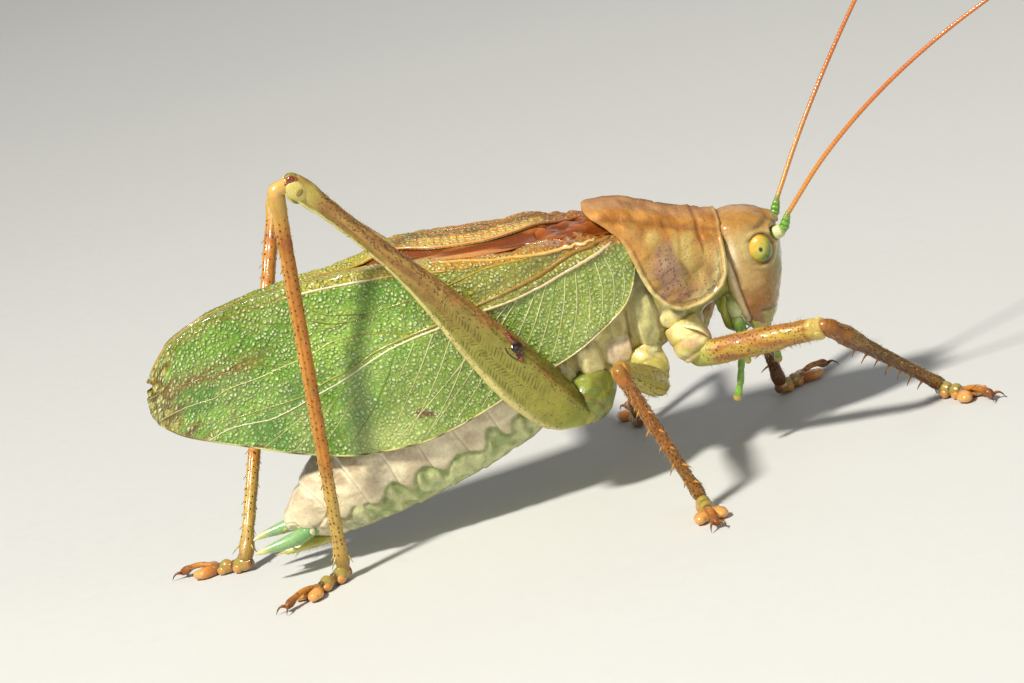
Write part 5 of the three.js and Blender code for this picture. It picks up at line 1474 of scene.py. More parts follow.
def tegmen(name, materials):
    wing = Wing(name)
    clay = Clay()
    grid, span = wing.grid, wing.span
    x, z = grid[..., 0], grid[..., 2]
    grain = np.stack([x, span, 0 * x], axis=-1)
    under_fold = smooth(-0.1, 0.25, span)
    stem = stem_at(x)
    lower = span[:, -1:] - span
    # low relief: swollen fields between the veins, small cells, and a crumpled root
    relief = 0.05 * waves(grain, 1.3, 51) + 0.022 * waves(grain, 0.45, 52)
    relief += 0.014 * waves(grain, 0.17, 53)
    relief += 0.09 * waves(grain, 0.38, 54) * smooth(2.4, 4.5, x) * (1 - under_fold)
    relief = relief + 0.1 * hump(z, stem - 0.25, 0.22) * smooth(-6, -2, x) - 0.06 * hump(z, stem + 0.5, 0.3)
    taper = smooth(0.0, 0.4, span - span[:, :1]) * smooth(0.0, 0.3, lower)
    grid = grid + wing.normal * (relief * taper)[..., None]
    wing.grid = grid
    tint, cell = wing_colours(name, x, z, span, under_fold, stem, lower, grain)
    outer = grid.copy()
    outer[..., 1] *= wing.side
    normal = wing.normal * [1, wing.side, 1]
    clay.sheet(outer, normal, 0.1, tint, cell, grain=grain + [0, 0, wing.side * 20])
    wing_veins(clay, wing)
    wing_rims(clay, wing)
    if name == "left":
        root_membranes(clay)
    return clay.piece(f"fore_wing_{name}", materials, [f"tegmen_{name}"], TILT)


# ---- tail pieces -----------------------------------------------------------------------------
def cercus(name, material):
    side = SIDES[name]
    clay = Clay()
    path = [[0, -12.6, 0.95, -6.55, 0.36], [0.3, -13.6, 1.15, -6.8, 0.4], [0.55, -14.5, 1.27, -6.9, 0.34],
            [0.8, -15.4, 1.26, -6.98, 0.22], [0.93, -15.9, 1.18, -7.04, 0.13], [1, -16.15, 1.1, -7.08, 0.05]]
    t = np.linspace(0, 1, 60)
    rows = along(path, t)
    tint = mixed(rgb(112, 172, 112), rgb(150, 190, 140), smooth(0, 0.5, t))
    tint = mixed(tint, rgb(222, 216, 172), smooth(0.7, 0.95, t))
    clay.rod(rows[:, :3] * [1, side, 1], rows[:, 3], tint, 30, 0.15)
    # the inner tooth, and fine hairs
    root = mirrored([-14.2, 1.05, -6.95], side)
    clay.spike(root, root + [-0.35, -side * 0.5, -0.05], 0.12, rgb(206, 200, 130), rgb(90, 60, 30),
               bend=(-0.05, 0, 0.03), sides=12)
    draw = np.random.default_rng(SEEDS["cercus_hairs"])
    for _ in range(60):
        k = draw.integers(4, 56)
        turn = draw.uniform(0, 2 * math.pi)
        way = np.array([-0.35, math.cos(turn), math.sin(turn)])
        start = rows[k, :3] * [1, side, 1] + unit(way) * rows[k, 3] * 0.85
        clay.hair(start, unit(way) * draw.uniform(0.16, 0.4), WHITE, 0.009)
    return clay.piece(f"cercus_skin_{name}", [material], [f"cercus_{name}"], TILT)


def genital_plate(material):
    clay = Clay()
    t, angle = np.linspace(0, 1, 50), around(56)
    shape = along([[0, 0.86, 0.3], [0.4, 0.82, 0.32], [0.8, 0.56, 0.3], [1, 0.42, 0.24]], t)
    centre = np.stack([-11.6 - 3.0 * t, 0 * t, -7.5 - 0.22 * t], axis=-1)
    grid = np.zeros((50, 56, 3)) + centre[:, None]
    grid[..., 1] += shape[:, :1] * np.cos(angle)
    grid[..., 2] += shape[:, 1:] * np.sin(angle)
    grid[..., 2] -= 0.07 * hump(grid[..., 1], 0, 0.1) * (np.sin(angle) < 0)
    grid[..., 0] += 0.3 * hump(grid[..., 1], 0, 0.18) * smooth(0.8, 1, t)[:, None]
    tint = mixed(rgb(214, 206, 124), rgb(196, 196, 104), smooth(-0.4, 0.6, waves(grid, 0.7, 71)))
    clay.skin(grid, tint, 0.3, ends=(0.1, 0.14))
    for side in (-1, 1):
        root = np.array([-14.45, side * 0.32, -7.7])
        clay.spike(root, root + [-0.75, side * 0.1, 0.02], 0.09, rgb(206, 200, 120), rgb(190, 160, 90),
                   sides=12)
    draw = np.random.default_rng(SEEDS["plate_hairs"])
    for _ in range(110):
        r, c = draw.integers(4, 48), draw.integers(28, 56)
        way = unit(np.array([-0.7, 0.8 * math.cos(angle[c]), 0.8 * math.sin(angle[c])]))
        clay.hair(grid[r, c], way * draw.uniform(0.2, 0.42), WHITE, 0.01, rgb(190, 170, 130))
    return clay.piece("plate_under_tail", [material], ["subgenital_plate"], TILT)


# ---- the legs --------------------------------------------------------------------------------
# [way down the piece from 0 to 1, half sizes up, down, out, in]
THIGH = {
    "hind": [[0, 0.4, 0.9, 0.5, 0.45], [0.04, 0.62, 1.7, 0.85, 0.55], [0.1, 0.84, 2.08, 1.03, 0.62],
             [0.18, 0.95, 2.12, 1.08, 0.68], [0.3, 0.95, 1.83, 1.0, 0.7], [0.42, 0.86, 1.34, 0.84, 0.65],
             [0.54, 0.76, 0.85, 0.69, 0.6], [0.66, 0.62, 0.5, 0.57, 0.52], [0.82, 0.51, 0.41, 0.47, 0.45],
             [0.91, 0.54, 0.48, 0.47, 0.46], [0.965, 0.6, 0.5, 0.48, 0.46], [1.0, 0.5, 0.36, 0.38, 0.36]],
    "mid": [[0, 0.62, 0.68, 0.54, 0.52], [0.05, 0.71, 0.79, 0.59, 0.57], [0.13, 0.78, 0.87, 0.64, 0.62],
            [0.45, 0.73, 0.81, 0.6, 0.57], [0.8, 0.55, 0.57, 0.49, 0.49], [0.95, 0.54, 0.52, 0.47, 0.47],
            [1.01, 0.36, 0.34, 0.34, 0.34]],
    "fore": [[0, 0.66, 0.74, 0.58, 0.57], [0.1, 0.76, 0.83, 0.65, 0.62], [0.5, 0.77, 0.79, 0.65, 0.62],
             [0.85, 0.63, 0.63, 0.55, 0.54], [0.93, 0.64, 0.62, 0.56, 0.55], [1.0, 0.46, 0.46, 0.42, 0.42]],
}
SHIN = {
    "hind": [[0, 0.4, 0.42, 0.36, 0.34], [0.03, 0.48, 0.44, 0.4, 0.38], [0.07, 0.38, 0.4, 0.37, 0.35],
             [0.12, 0.4, 0.38, 0.36, 0.35], [0.4, 0.37, 0.37, 0.36, 0.35], [0.92, 0.33, 0.33, 0.33, 0.32],
             [0.97, 0.42, 0.42, 0.4, 0.4], [1, 0.34, 0.34, 0.33, 0.33]],
    "mid": [[0, 0.38, 0.38, 0.36, 0.36], [0.05, 0.43, 0.43, 0.4, 0.4], [0.12, 0.37, 0.37, 0.35, 0.35],
            [0.25, 0.38, 0.38, 0.36, 0.36], [0.85, 0.3, 0.3, 0.3, 0.3], [0.96, 0.4, 0.4, 0.39, 0.39],
            [1, 0.32, 0.32, 0.32, 0.32]],
    "fore": [[0, 0.4, 0.4, 0.38, 0.38], [0.05, 0.5, 0.5, 0.46, 0.46], [0.1, 0.47, 0.46, 0.44, 0.44],
             [0.18, 0.55, 0.54, 0.5, 0.5], [0.26, 0.5, 0.48, 0.46, 0.46], [0.35, 0.38, 0.38, 0.37, 0.37],
             [0.9, 0.32, 0.32, 0.32, 0.32], [0.96, 0.38, 0.38, 0.38, 0.38], [1, 0.32, 0.32, 0.32, 0.32]],
}
LEG_LOOKS = {
    "hind": dict(
        thigh=rgb(164, 168, 84), back=rgb(176, 128, 78), keel=rgb(240, 232, 184), knee=rgb(200, 186, 112),
        shin=rgb(210, 140, 58), foot=rgb(196, 142, 76), thigh_mark=0.6, shin_mark=0.35,
    ),
    "mid": dict(
        thigh=rgb(192, 180, 64), back=rgb(190, 166, 66), keel=rgb(214, 204, 110), knee=rgb(206, 150, 74),
        shin=rgb(186, 116, 40), foot=rgb(196, 136, 74), thigh_mark=0.3, shin_mark=1.0,
    ),
    "fore": dict(
        thigh=rgb(212, 164, 84), back=rgb(198, 140, 78), keel=rgb(214, 196, 110), knee=rgb(226, 206, 138),
        shin=rgb(126, 80, 34), foot=rgb(186, 124, 60), thigh_mark=0.8, shin_mark=1.1,
    ),
}
UP, DOWN = math.pi / 2, 3 * math.pi / 2  # angles round a limb; 0 is its outer side
FOOT_DRAWN = 4.4  # the length of a foot as foot_joints draws it at a spread of 1


class Stretch:
    """One straight stretch of a leg; angles run from its outer side (0) up over its back."""

    def __init__(self, a, b, outward, rows):
        self.a, self.rows = np.asarray(a, float), rows
        self.length = np.linalg.norm(b - a)
        self.axis = unit(b - a)
        self.side = unit(outward - self.axis * (outward @ self.axis))
        up = np.cross(self.side, self.axis)
        self.up = up if up[2] >= 0 else -up

    def at(self, t, angle, proud=0.0):
        t, angle = np.broadcast_arrays(np.asarray(t, float), np.asarray(angle, float))
        rise, fall, out, inward = np.moveaxis(along(self.rows, t), -1, 0)
        c, s = squared(np.cos(angle), 2.2), squared(np.sin(angle), 2.2)
        a = c * (np.where(c > 0, out, inward) + proud)
        b = s * (np.where(s > 0, rise, fall) + proud)
        way = t[..., None] * self.length * self.axis
        return self.a + way + a[..., None] * self.side + b[..., None] * self.up

    def off(self, angle, lean=0.0):
        """The direction off the surface at an angle, leaning down the limb."""
        angle = np.asarray(angle, float)[..., None]
        return unit(np.cos(angle) * self.side + np.sin(angle) * self.up + lean * self.axis)


def knee_of(hip, ankle, femur, tibia, swing, side):
    line = ankle - hip
    span = np.linalg.norm(line)
    axis = line / span
    reach = (femur**2 - tibia**2 + span**2) / (2 * span)
    height = math.sqrt(femur**2 - reach**2)
    up = unit(np.array([0, 0, 1]) - axis * axis[2])
    out = np.cross(up, axis)
    out = out if out[1] * side > 0 else -out
    turn = math.radians(swing)
    return hip + axis * reach + up * height * math.cos(turn) + out * height * math.sin(turn)


def hairs(clay, stretch, count, low, high, length, seed, where=(0, 2 * math.pi), lean=0.7):
    """Hairs scattered from `low` to `high` down a stretch, between two angles round it."""
    draw, width = np.random.default_rng(seed), 0.0105
    for _ in range(count):
        t, angle = draw.uniform(low, high), draw.uniform(*where)
        start = stretch.at(t, angle, -HAIR_ROOT)
        way = unit(stretch.off(angle, lean) + draw.normal(0, 0.15, 3))
        size = length * draw.uniform(0.6, 1.3)
        clay.hair(start, way * size, width=width, bend=stretch.axis * 0.1 * size)


def spines(clay, stretch, places, angle, length, root, point, lean=0.8, width=0.05):
    """A row of spines down a stretch, each in a round socket."""
    for k, t in enumerate(places):
        turn = angle + 0.12 * math.sin(5.1 * k)
        start = stretch.at(t, turn, -0.05)
        way = stretch.off(turn, lean)
        size = length * (0.88 + 0.2 * math.sin(3.3 * k + angle))
        clay.spike(start, start + way * size, width, root, point, bend=stretch.axis * -0.06 * size, sides=7)
        socket = stretch.at(t, turn, -0.02)
        across = np.cross(way, stretch.axis)
        clay.ball(socket, (way * 0.07, stretch.axis * 0.075, across * 0.075), root, rows=5, sides=8)


def dots(clay, stretch, angles, low, high, gap, size, colour, seed, keep=0.8, stray=0.05):
    """Rows of dark dots down a limb, each a low blister on its skin."""
    draw = np.random.default_rng(seed)
    step = gap / stretch.length
    for angle in angles:
        for t in np.arange(low + draw.uniform(0, step), high, step):
            big, turn = size * draw.uniform(0.7, 1.25), angle + draw.normal(0, stray)
            at = stretch.at(t + draw.normal(0, step * 0.15), turn, 0.006)
            if draw.random() > keep:
                continue
            off = stretch.off(turn)
            axes = (off * 0.026, stretch.axis * big, np.cross(off, stretch.axis) * big * 0.8)
            clay.ball(at, axes, colour, rows=2, sides=7, kind=1)


def foot_joints(clay, ankle, toe, look, spread):
    """Four joints on the floor: two knobs, a broad heart-shaped one, a slender one with claws."""
    ahead = unit([toe[0], toe[1], 0])
    across = np.array([-ahead[1], ahead[0], 0])
    up = np.array([0.0, 0, 1])

    def place(t, height, aside=0.0):
        step = ahead * (t * spread - 0.15) + across * aside
        return np.array([ankle[0], ankle[1], FLOOR]) + step + up * height

    base, tip, dark = look["foot"], rgb(222, 160, 92), rgb(58, 32, 18)
    olive = rgb(160, 156, 84)
    # first and second joints: knobs with a glossy swelling on each side
    for start, end, wide, tall in ((-0.1, 1.0, 0.4, 0.42), (0.92, 1.72, 0.38, 0.38)):
        t = np.linspace(0, 1, 22)
        swell = 0.66 + 0.34 * np.sin(np.clip(t * 1.2 - 0.1, 0, 1) * math.pi)
        angle = around(34)
        centre = place(start, tall) + np.outer(t * (end - start), ahead)
        vault = np.where(np.sin(angle) > 0, 1.12, 0.95)[None, :, None]
        ring = (np.cos(angle)[None, :, None] * across * wide
                + np.sin(angle)[None, :, None] * up * tall * vault)
        shade = mixed(base, olive, 0.8 * smooth(0.1, 0.5, t))
        shade = mixed(shade, dark, 0.8 * hump(t, 1.0, 0.1) + 0.6 * hump(t, 0, 0.08))
        rings = centre[:, None] + swell[:, None, None] * ring
        clay.skin(rings, shade[:, None], 0.4, ends=(0.12, 0.12), kind=1)
        for aside in (-1, 1):
            middle_t = (start + end) / 2 + 0.12
            clay.ball(place(middle_t, tall * 0.7, aside * wide * 0.62),
                      (ahead * 0.3, across * 0.22, up * tall * 0.62), mixed(base, tip, 0.6),
                      0.3, 12, 18, kind=1)
    # third joint: two broad lobes that join at the root
    clay.ball(place(1.95, 0.36), (ahead * 0.42, across * 0.34, up * 0.3), mixed(base, dark, 0.45),
              0.4, 12, 20, kind=1)
    for aside in (-1, 1):
        way = unit(ahead + across * aside * 0.5)
        over = np.cross(up, way)
        t, angle = np.linspace(0, 1, 24), around(30)
        wide = along([[0, 0.16], [0.35, 0.36], [0.7, 0.44], [1, 0.3]], t)[:, 0]
        tall = along([[0, 0.26], [0.5, 0.31], [1, 0.23]], t)[:, 0]
        centre = place(1.85, 0.3, aside * 0.17) + np.outer(t * 1.0, way)
        ring = (wide[:, None, None] * np.cos(angle)[None, :, None] * over
                + tall[:, None, None] * np.sin(angle)[None, :, None] * up)
        shade = mixed(rgb(206, 130, 62), rgb(228, 170, 102), smooth(0.2, 0.9, t))
        shade = mixed(shade, rgb(150, 80, 36), 0.5 * hump(t, 0.0, 0.15))
        clay.skin(centre[:, None] + ring, shade[:, None], 0.15, ends=(0.1, 0.22), kind=1)
    # fourth joint, slender and arched, with its two claws
    t = np.linspace(0, 1, 30)
    rise = 0.44 + 0.26 * np.sin(t * math.pi) - 0.1 * t
    path = place(1.75, 0) + np.outer(t * 2.3, ahead) + np.outer(rise, up)
    radius = along([[0, 0.13], [0.3, 0.15], [0.7, 0.16], [0.92, 0.24], [1, 0.18]], t)[:, 0]
    shade = mixed(rgb(206, 142, 74), rgb(150, 88, 42), smooth(0.5, 1, t))
    clay.rod(path, radius, shade, 22, 1.1, across=across)
    for aside in (-1, 1):
        root = path[-1] + across * aside * 0.12 + ahead * 0.06
        tip_at = root + ahead * 0.5 + across * aside * 0.3 - up * 0.28
        clay.spike(root, tip_at, 0.1, rgb(150, 88, 40), rgb(40, 20, 12),
                   bend=up * 0.17 + across * aside * 0.05, sides=10)
    draw = np.random.default_rng(SEEDS["foot_hairs"])
    for _ in range(90):
        t0, aside = draw.uniform(0, 3.9), draw.choice([-1, 1])
        wide = np.interp(t0, [0, 1.6, 2.2, 2.9, 3.0, 3.9], [0.38, 0.38, 0.7, 0.66, 0.2, 0.2])
        start = place(t0, draw.uniform(0.2, 0.5), aside * wide * 0.92)
        way = unit(across * aside + up * draw.uniform(-0.3, 0.7) + ahead * 0.4)
        clay.hair(start, way * draw.uniform(0.12, 0.26))


def knee_lobes(clay, pair, look, knee, thigh):
    """The two lobes that hold the head of the shin; a hind knee has a spot and red patches with a painted
    glint.
    """
    for turn in (1, -1):
        reach = thigh.rows[-2][3] if turn > 0 else thigh.rows[-2][4]
        aside = thigh.side * turn
        if pair != "hind":
            clay.ball(knee - thigh.axis * 0.16 + aside * (reach - 0.13) - thigh.up * 0.06,
                      (thigh.axis * 0.34, aside * 0.16, thigh.up * 0.4), look["knee"], 0.2, 12, 20)
            continue
        clay.ball(knee + thigh.axis * 0.06 + thigh.up * 0.02,
                  (thigh.axis * 0.5, aside * 0.36, thigh.up * 0.44), look["knee"], 0.3, 14, 24)
        lobe_at = knee - thigh.axis * 0.32 + aside * (reach - 0.12) - thigh.up * 0.2
        clay.ball(lobe_at, (thigh.axis * 0.6, aside * 0.22, thigh.up * 0.48), rgb(222, 212, 150),
                  0.3, 14, 24)
        clay.ball(lobe_at - thigh.axis * 0.12 + aside * 0.1 + thigh.up * 0.04,
                  (thigh.axis * 0.22, aside * 0.14, thigh.up * 0.3), rgb(150, 128, 34), 0, 12, 18, kind=1)
        # red patches on the knee; the small near-white ball among them is a painted glint
        for ahead, rise, big, tone in (
            (0.25, 0.02, 0.25, rgb(128, 52, 22)), (0.1, 0.18, 0.16, rgb(150, 76, 34)),
            (0.4, -0.16, 0.14, rgb(214, 170, 112)), (0.26, -0.14, 0.07, rgb(232, 214, 176)),
            (0.3, -0.34, 0.1, rgb(96, 40, 20)),
        ):
            clay.ball(knee + thigh.axis * ahead + thigh.up * rise + aside * (reach - 0.19),
                      (aside * big * 0.6, thigh.axis * big, thigh.up * big * 1.1), tone, 0.6, 8, 14, kind=1)


def thigh_skin(clay, pair, look, thigh):
    """The thigh: grooves, a pale keel, streaks and freckles."""
    t = np.concatenate([np.linspace(0, 0.2, 60)[:-1], np.linspace(0.2, 1.0, 190)])
    angle = around(84)
    grid = thigh.at(t[:, None], angle[None])
    out = outward_of(grid)
    level, facing = np.sin(angle)[None], np.cos(angle)[None]
    swell = 0.015 * waves(grid, 0.5, 81) + 0.008 * waves(grid, 0.22, 82)
    if pair == "hind":
        swell -= 0.05 * hump(level, 0.62, 0.1) * hump(t, 0.3, 0.3)[:, None]
        swell -= 0.06 * hump(level, -0.86, 0.07) * smooth(0.06, 0.15, t)[:, None] * (np.sin(angle) < 0)
        swell += 0.05 * hump(level, -0.97, 0.05) * smooth(0.06, 0.15, t)[:, None]
        swell -= (0.05 * hump(level, -0.2, 0.12) * smooth(0.5, 0.62, t)[:, None]
                  * smooth(0.93, 0.86, t)[:, None])
    else:
        swell -= 0.04 * hump(level, -0.9, 0.1)
    grid = grid + out * swell[..., None]
    along_t = t[:, None] + 0 * level
    tint = mixed(look["thigh"], look["back"], smooth(0.25, 0.85, level + 0.16 * waves(grid, 0.9, 83)))
    drawn_out = np.broadcast_arrays(along_t * LIMB[pair]["femur"] * 0.22, level, facing)
    streak = waves(np.stack(drawn_out, axis=-1), 0.3, 86)
    if pair == "hind":
        far = smooth(0.3, 0.62, along_t)
        tint = mixed(tint, look["back"], far * smooth(-0.9, -0.1, level) * 0.85)
        tint = washed(tint, [
            (150, 98, 70, 0.45 * far * smooth(0.0, 0.7, streak)),
            (206, 176, 112, 0.5 * far * smooth(0.0, 0.8, -streak)),
            (176, 172, 84, smooth(0.28, 0.05, along_t) * 0.6 * smooth(0.7, 0.1, level)),
            (150, 136, 84, 0.5 * hump(along_t, 0.4, 0.2) * hump(level, 0.1, 0.4)),
            (158, 172, 60, 0.75 * smooth(0.12, 0.0, along_t)),
            (118, 122, 34, 0.85 * smooth(0.35, 0.75, level) * smooth(0.3, 0.2, along_t)),
        ])
    keel = 0.95 if pair == "hind" else 0.5
    tint = mixed(tint, look["keel"], smooth(-0.72, -0.92, level + 0 * along_t) * keel)
    if pair == "fore":
        tint = washed(tint, [
            (158, 98, 84, 0.55 * smooth(0.1, 0.8, streak)),
            (216, 200, 104, 0.6 * smooth(0.1, 0.8, -streak)),
            (200, 206, 120, smooth(0.2, 0.04, along_t)),
            (206, 196, 112, 0.6 * smooth(-0.3, -0.9, level + 0 * along_t)),
        ])
    tint = mixed(tint, look["knee"], smooth(0.9, 0.95, along_t) * 0.9)
    if pair == "fore":
        tint = mixed(tint, rgb(120, 72, 40), 0.4 * hump(along_t, 0.89, 0.012))
    if pair == "hind":
        tint = mixed(tint, rgb(166, 104, 56), 0.4 * smooth(0.965, 0.985, along_t) * smooth(-0.2, 0.4, level))
    freckle = look["thigh_mark"] * (0.4 + 0.6 * smooth(-0.3, 0.6, level)) * smooth(0.93, 0.88, along_t)
    root_dome = {"hind": 0.4, "mid": 0.6, "fore": 0.45}[pair]
    clay.skin(grid, tint, freckle * smooth(-0.04, 0.12, along_t), ends=(root_dome, 0.24))


def shin_skin(clay, pair, look, knee, top, thigh, shin, outward):
    """The shin, from its bent head at the knee down."""
    head = [knee - thigh.up * 0.05, (knee + top) / 2 + thigh.up * 0.12, top, top + shin.axis * 0.5]
    t = np.linspace(0, 3, 26)
    rows = along([[k, *p] for k, p in enumerate(head)], t)
    ripe, first, last, stout, mark = {
        "hind": (rgb(218, 182, 112), 1.6, 3.6, 1.0, 0.0),
        "mid": (rgb(172, 132, 78), 1.2, 3, 0.86, 0.8),
        "fore": (rgb(180, 124, 72), 1.2, 3, 0.86, 0.8),
    }[pair]
    bulk = along([[0, 0.28], [1, 0.36], [2, 0.42], [3, 0.38]], t)[:, 0] * stout
    shade = mixed(ripe, look["shin"], smooth(first, last, t))
    clay.rod(rows, bulk, shade, 30, mark, across=outward, kind=int(pair == "hind"))
    t = np.linspace(0, 1, 240)
    angle = around(52)
    grid = shin.at(t[:, None], angle[None])
    out = outward_of(grid)
    level = np.sin(angle)[None]
    swell = 0.012 * waves(grid, 0.4, 84) - 0.04 * hump(level, 0.25, 0.14) * hump(t, 0.5, 0.45)[:, None]
    if pair == "fore":
        # the slits of the hearing organ below the knee
        slit = hump(t, 0.165, 0.045)[:, None] * hump(level, 0.15, 0.22)
        swell = swell - 0.12 * slit + 0.05 * hump(t, 0.165, 0.07)[:, None] * hump(level, 0.55, 0.16)
    grid = grid + out * swell[..., None]
    along_t = t[:, None] + 0 * level
    clouds = waves(grid * [1, 1, 0.4], 0.7, 85)
    tint = mixed(look["shin"], look["shin"] * 0.74, 0.5 * smooth(-0.3, 0.7, clouds))
    tint = mixed(tint, rgb(230, 190, 110), 0.4 * smooth(0.3, 0.9, level + 0 * along_t))
    if pair == "hind":
        tint = washed(tint, [
            (216, 182, 112, 0.85 * smooth(0.13, 0.03, along_t)),
            (150, 66, 34, 0.5 * hump(along_t, 0.13, 0.02)),
            (212, 184, 116, 0.85 * smooth(0.7, 0.82, along_t)),
        ])
    if pair == "mid":
        tint = washed(tint, [
            (194, 126, 60, smooth(0.3, 0.05, along_t) * 0.8),
            (150, 112, 44, 0.6 * smooth(0.5, 0.8, along_t)),
        ])
    if pair == "fore":
        tint = washed(tint, [
            (172, 108, 52, smooth(0.26, 0.08, along_t) * 0.85),
            (84, 52, 26, 0.62 * hump(along_t, 0.55, 0.3)),
        ])
    tint = mixed(tint, rgb(96, 52, 28), 0.4 * smooth(0.94, 1, along_t))
    speckle = look["shin_mark"] * smooth(0.1, 0.4, along_t)
    clay.skin(grid, tint, speckle, ends=(0.2, 0.2))


def leg_coat(clay, pair, thigh, shin, seed):
    """The spines, the rows of dots and the hairs of one leg."""
    black, pale_root = rgb(40, 22, 16), rgb(212, 168, 96)
    if pair == "hind":
        dots(clay, shin, [-1.05, -0.35, 0.3, 0.95, 2.6, 3.5], 0.06, 0.72, 0.42, 0.06,
             rgb(116, 34, 20), seed + 200, 0.82, 0.08)
        dots(clay, shin, [-1.0, -0.3, 0.35, 1.0, 2.6, 3.5], 0.72, 0.96, 0.34, 0.05,
             rgb(54, 26, 18), seed + 210, 0.85, 0.1)
        dots(clay, thigh, [-0.5, 0.1, 0.55, 0.95, 1.3, 2.3, 3.2], 0.5, 0.93, 0.36, 0.045,
             rgb(122, 62, 40), seed + 220, 0.8, 0.12)
        for angle_at, places, length, width in (
            (UP - 0.5, np.linspace(0.12, 0.9, 24), 0.36, 0.045),
            (UP + 0.5, np.linspace(0.12, 0.9, 24) + 0.012, 0.36, 0.045),
            (DOWN - 0.5, np.linspace(0.3, 0.92, 11) + 0.02, 0.32, 0.04),
            (DOWN + 0.5, np.linspace(0.3, 0.92, 11), 0.32, 0.04),
        ):
            spines(clay, shin, places, angle_at, length, pale_root, black, 1.5, width)
        spines(clay, thigh, np.linspace(0.5, 0.86, 7), DOWN + 0.3, 0.2, pale_root, black, 0.8, 0.035)
        for angle_at in (UP - 0.6, UP + 0.6, DOWN - 0.6, DOWN + 0.6):
            spines(clay, shin, [0.965], angle_at, 0.7, rgb(224, 206, 160), black, lean=1.5, width=0.06)
        hairs(clay, thigh, 240, 0.3, 0.97, 0.22, seed, where=(0.6, 2.6), lean=0.5)
        hairs(clay, thigh, 90, 0.1, 0.97, 0.18, seed + 20, lean=0.6)
        hairs(clay, shin, 320, 0.04, 0.97, 0.2, seed + 40, lean=1.0)
    else:
        count = 7 if pair == "fore" else 5
        root = rgb(206, 144, 74) if pair == "fore" else rgb(204, 148, 84)
        for angle_at, shift in ((DOWN - 0.62, 0.0), (DOWN + 0.62, 0.03)):
            spines(clay, shin, np.linspace(0.27, 0.84, count) + shift, angle_at, 0.72, root,
                   black, lean=0.25, width=0.08)
        if pair == "mid":
            spines(clay, shin, np.linspace(0.28, 0.8, 5), UP + 0.4, 0.68, root, black, 0.4, 0.065)
        else:
            spines(clay, shin, np.linspace(0.35, 0.75, 4), UP - 0.3, 0.22, root, black, 0.5, 0.05)
        spines(clay, thigh, np.linspace(0.35, 0.85, 5), DOWN + 0.45, 0.2, pale_root, black, 0.8, 0.03)
        dots(clay, shin, np.arange(0.2, 6.3, 0.75), 0.06, 0.97, 0.26, 0.052,
             rgb(70, 34, 16), seed + 230, 0.75, 0.2)
        dots(clay, shin, [0.5, 1.6, 2.8, 4.0, 5.2], 0.02, 0.2, 0.2, 0.046,
             rgb(110, 44, 24), seed + 240, 0.8, 0.2)
        if pair == "fore":
            dots(clay, thigh, np.arange(0.0, 3.2, 0.42), 0.08, 0.88, 0.22, 0.044,
                 rgb(120, 66, 60), seed + 250, 0.7, 0.16)
        else:
            dots(clay, thigh, np.arange(-1.5, 4.7, 0.52), 0.1, 0.8, 0.27, 0.042,
                 rgb(84, 58, 22), seed + 200, 0.85, 0.03)
        hairs(clay, thigh, 420, 0.02, 0.96, 0.27, seed, lean=0.4)
        hairs(clay, shin, 340, 0.04, 0.97, 0.24, seed + 40, lean=0.8)


def leg(stance, materials):
    pair, name = stance.split("_")
    side, look, size = SIDES[name], LEG_LOOKS[pair], LIMB[pair]
    stand = STANCE[stance]
    hip = hip_of(stance)
    ankle = np.array([stand["at"][0], stand["at"][1], FLOOR + ANKLE_RISE])
    knee = knee_of(hip, ankle, size["femur"], size["tibia"], stand["swing"], side)
    outward = np.cross(knee - hip, ankle - hip)
    outward = outward if outward[1] * side > 0 else -outward
    thigh = Stretch(hip, knee, outward, THIGH[pair])
    shin_way = unit(ankle - knee)
    behind = unit((knee - hip) - shin_way * ((knee - hip) @ shin_way))
    top = knee + behind * size["shin_set"][0] + shin_way * size["shin_set"][1]
    shin = Stretch(top, ankle, outward, SHIN[pair])
    clay = Clay()
    # the trochanter, a knob where the thigh meets the hip joint
    knob = {"hind": 0.5, "mid": 0.38, "fore": 0.6}[pair]
    clay.ball(hip - thigh.axis * 0.05 * (pair == "fore"),
              (thigh.axis * knob, thigh.side * knob, thigh.up * knob * 1.15), rgb(196, 198, 112), 0.0, 20, 30)
    thigh_skin(clay, pair, look, thigh)
    knee_lobes(clay, pair, look, knee, thigh)
    shin_skin(clay, pair, look, knee, top, thigh, shin, outward)
    leg_coat(clay, pair, thigh, shin, SEEDS["leg_hairs"] + list(STANCE).index(stance))
    if pair == "hind":
        thigh_ticks(clay, thigh)
        if name == "right":
            scar(clay, thigh)
    foot_joints(clay, ankle, stand["toe"], look, size["foot"] / FOOT_DRAWN)
    nodes = [f"femur_{stance}", f"tibia_{stance}", f"tarsus_{stance}"]
    return clay.piece(f"leg_{stance}", materials, nodes)


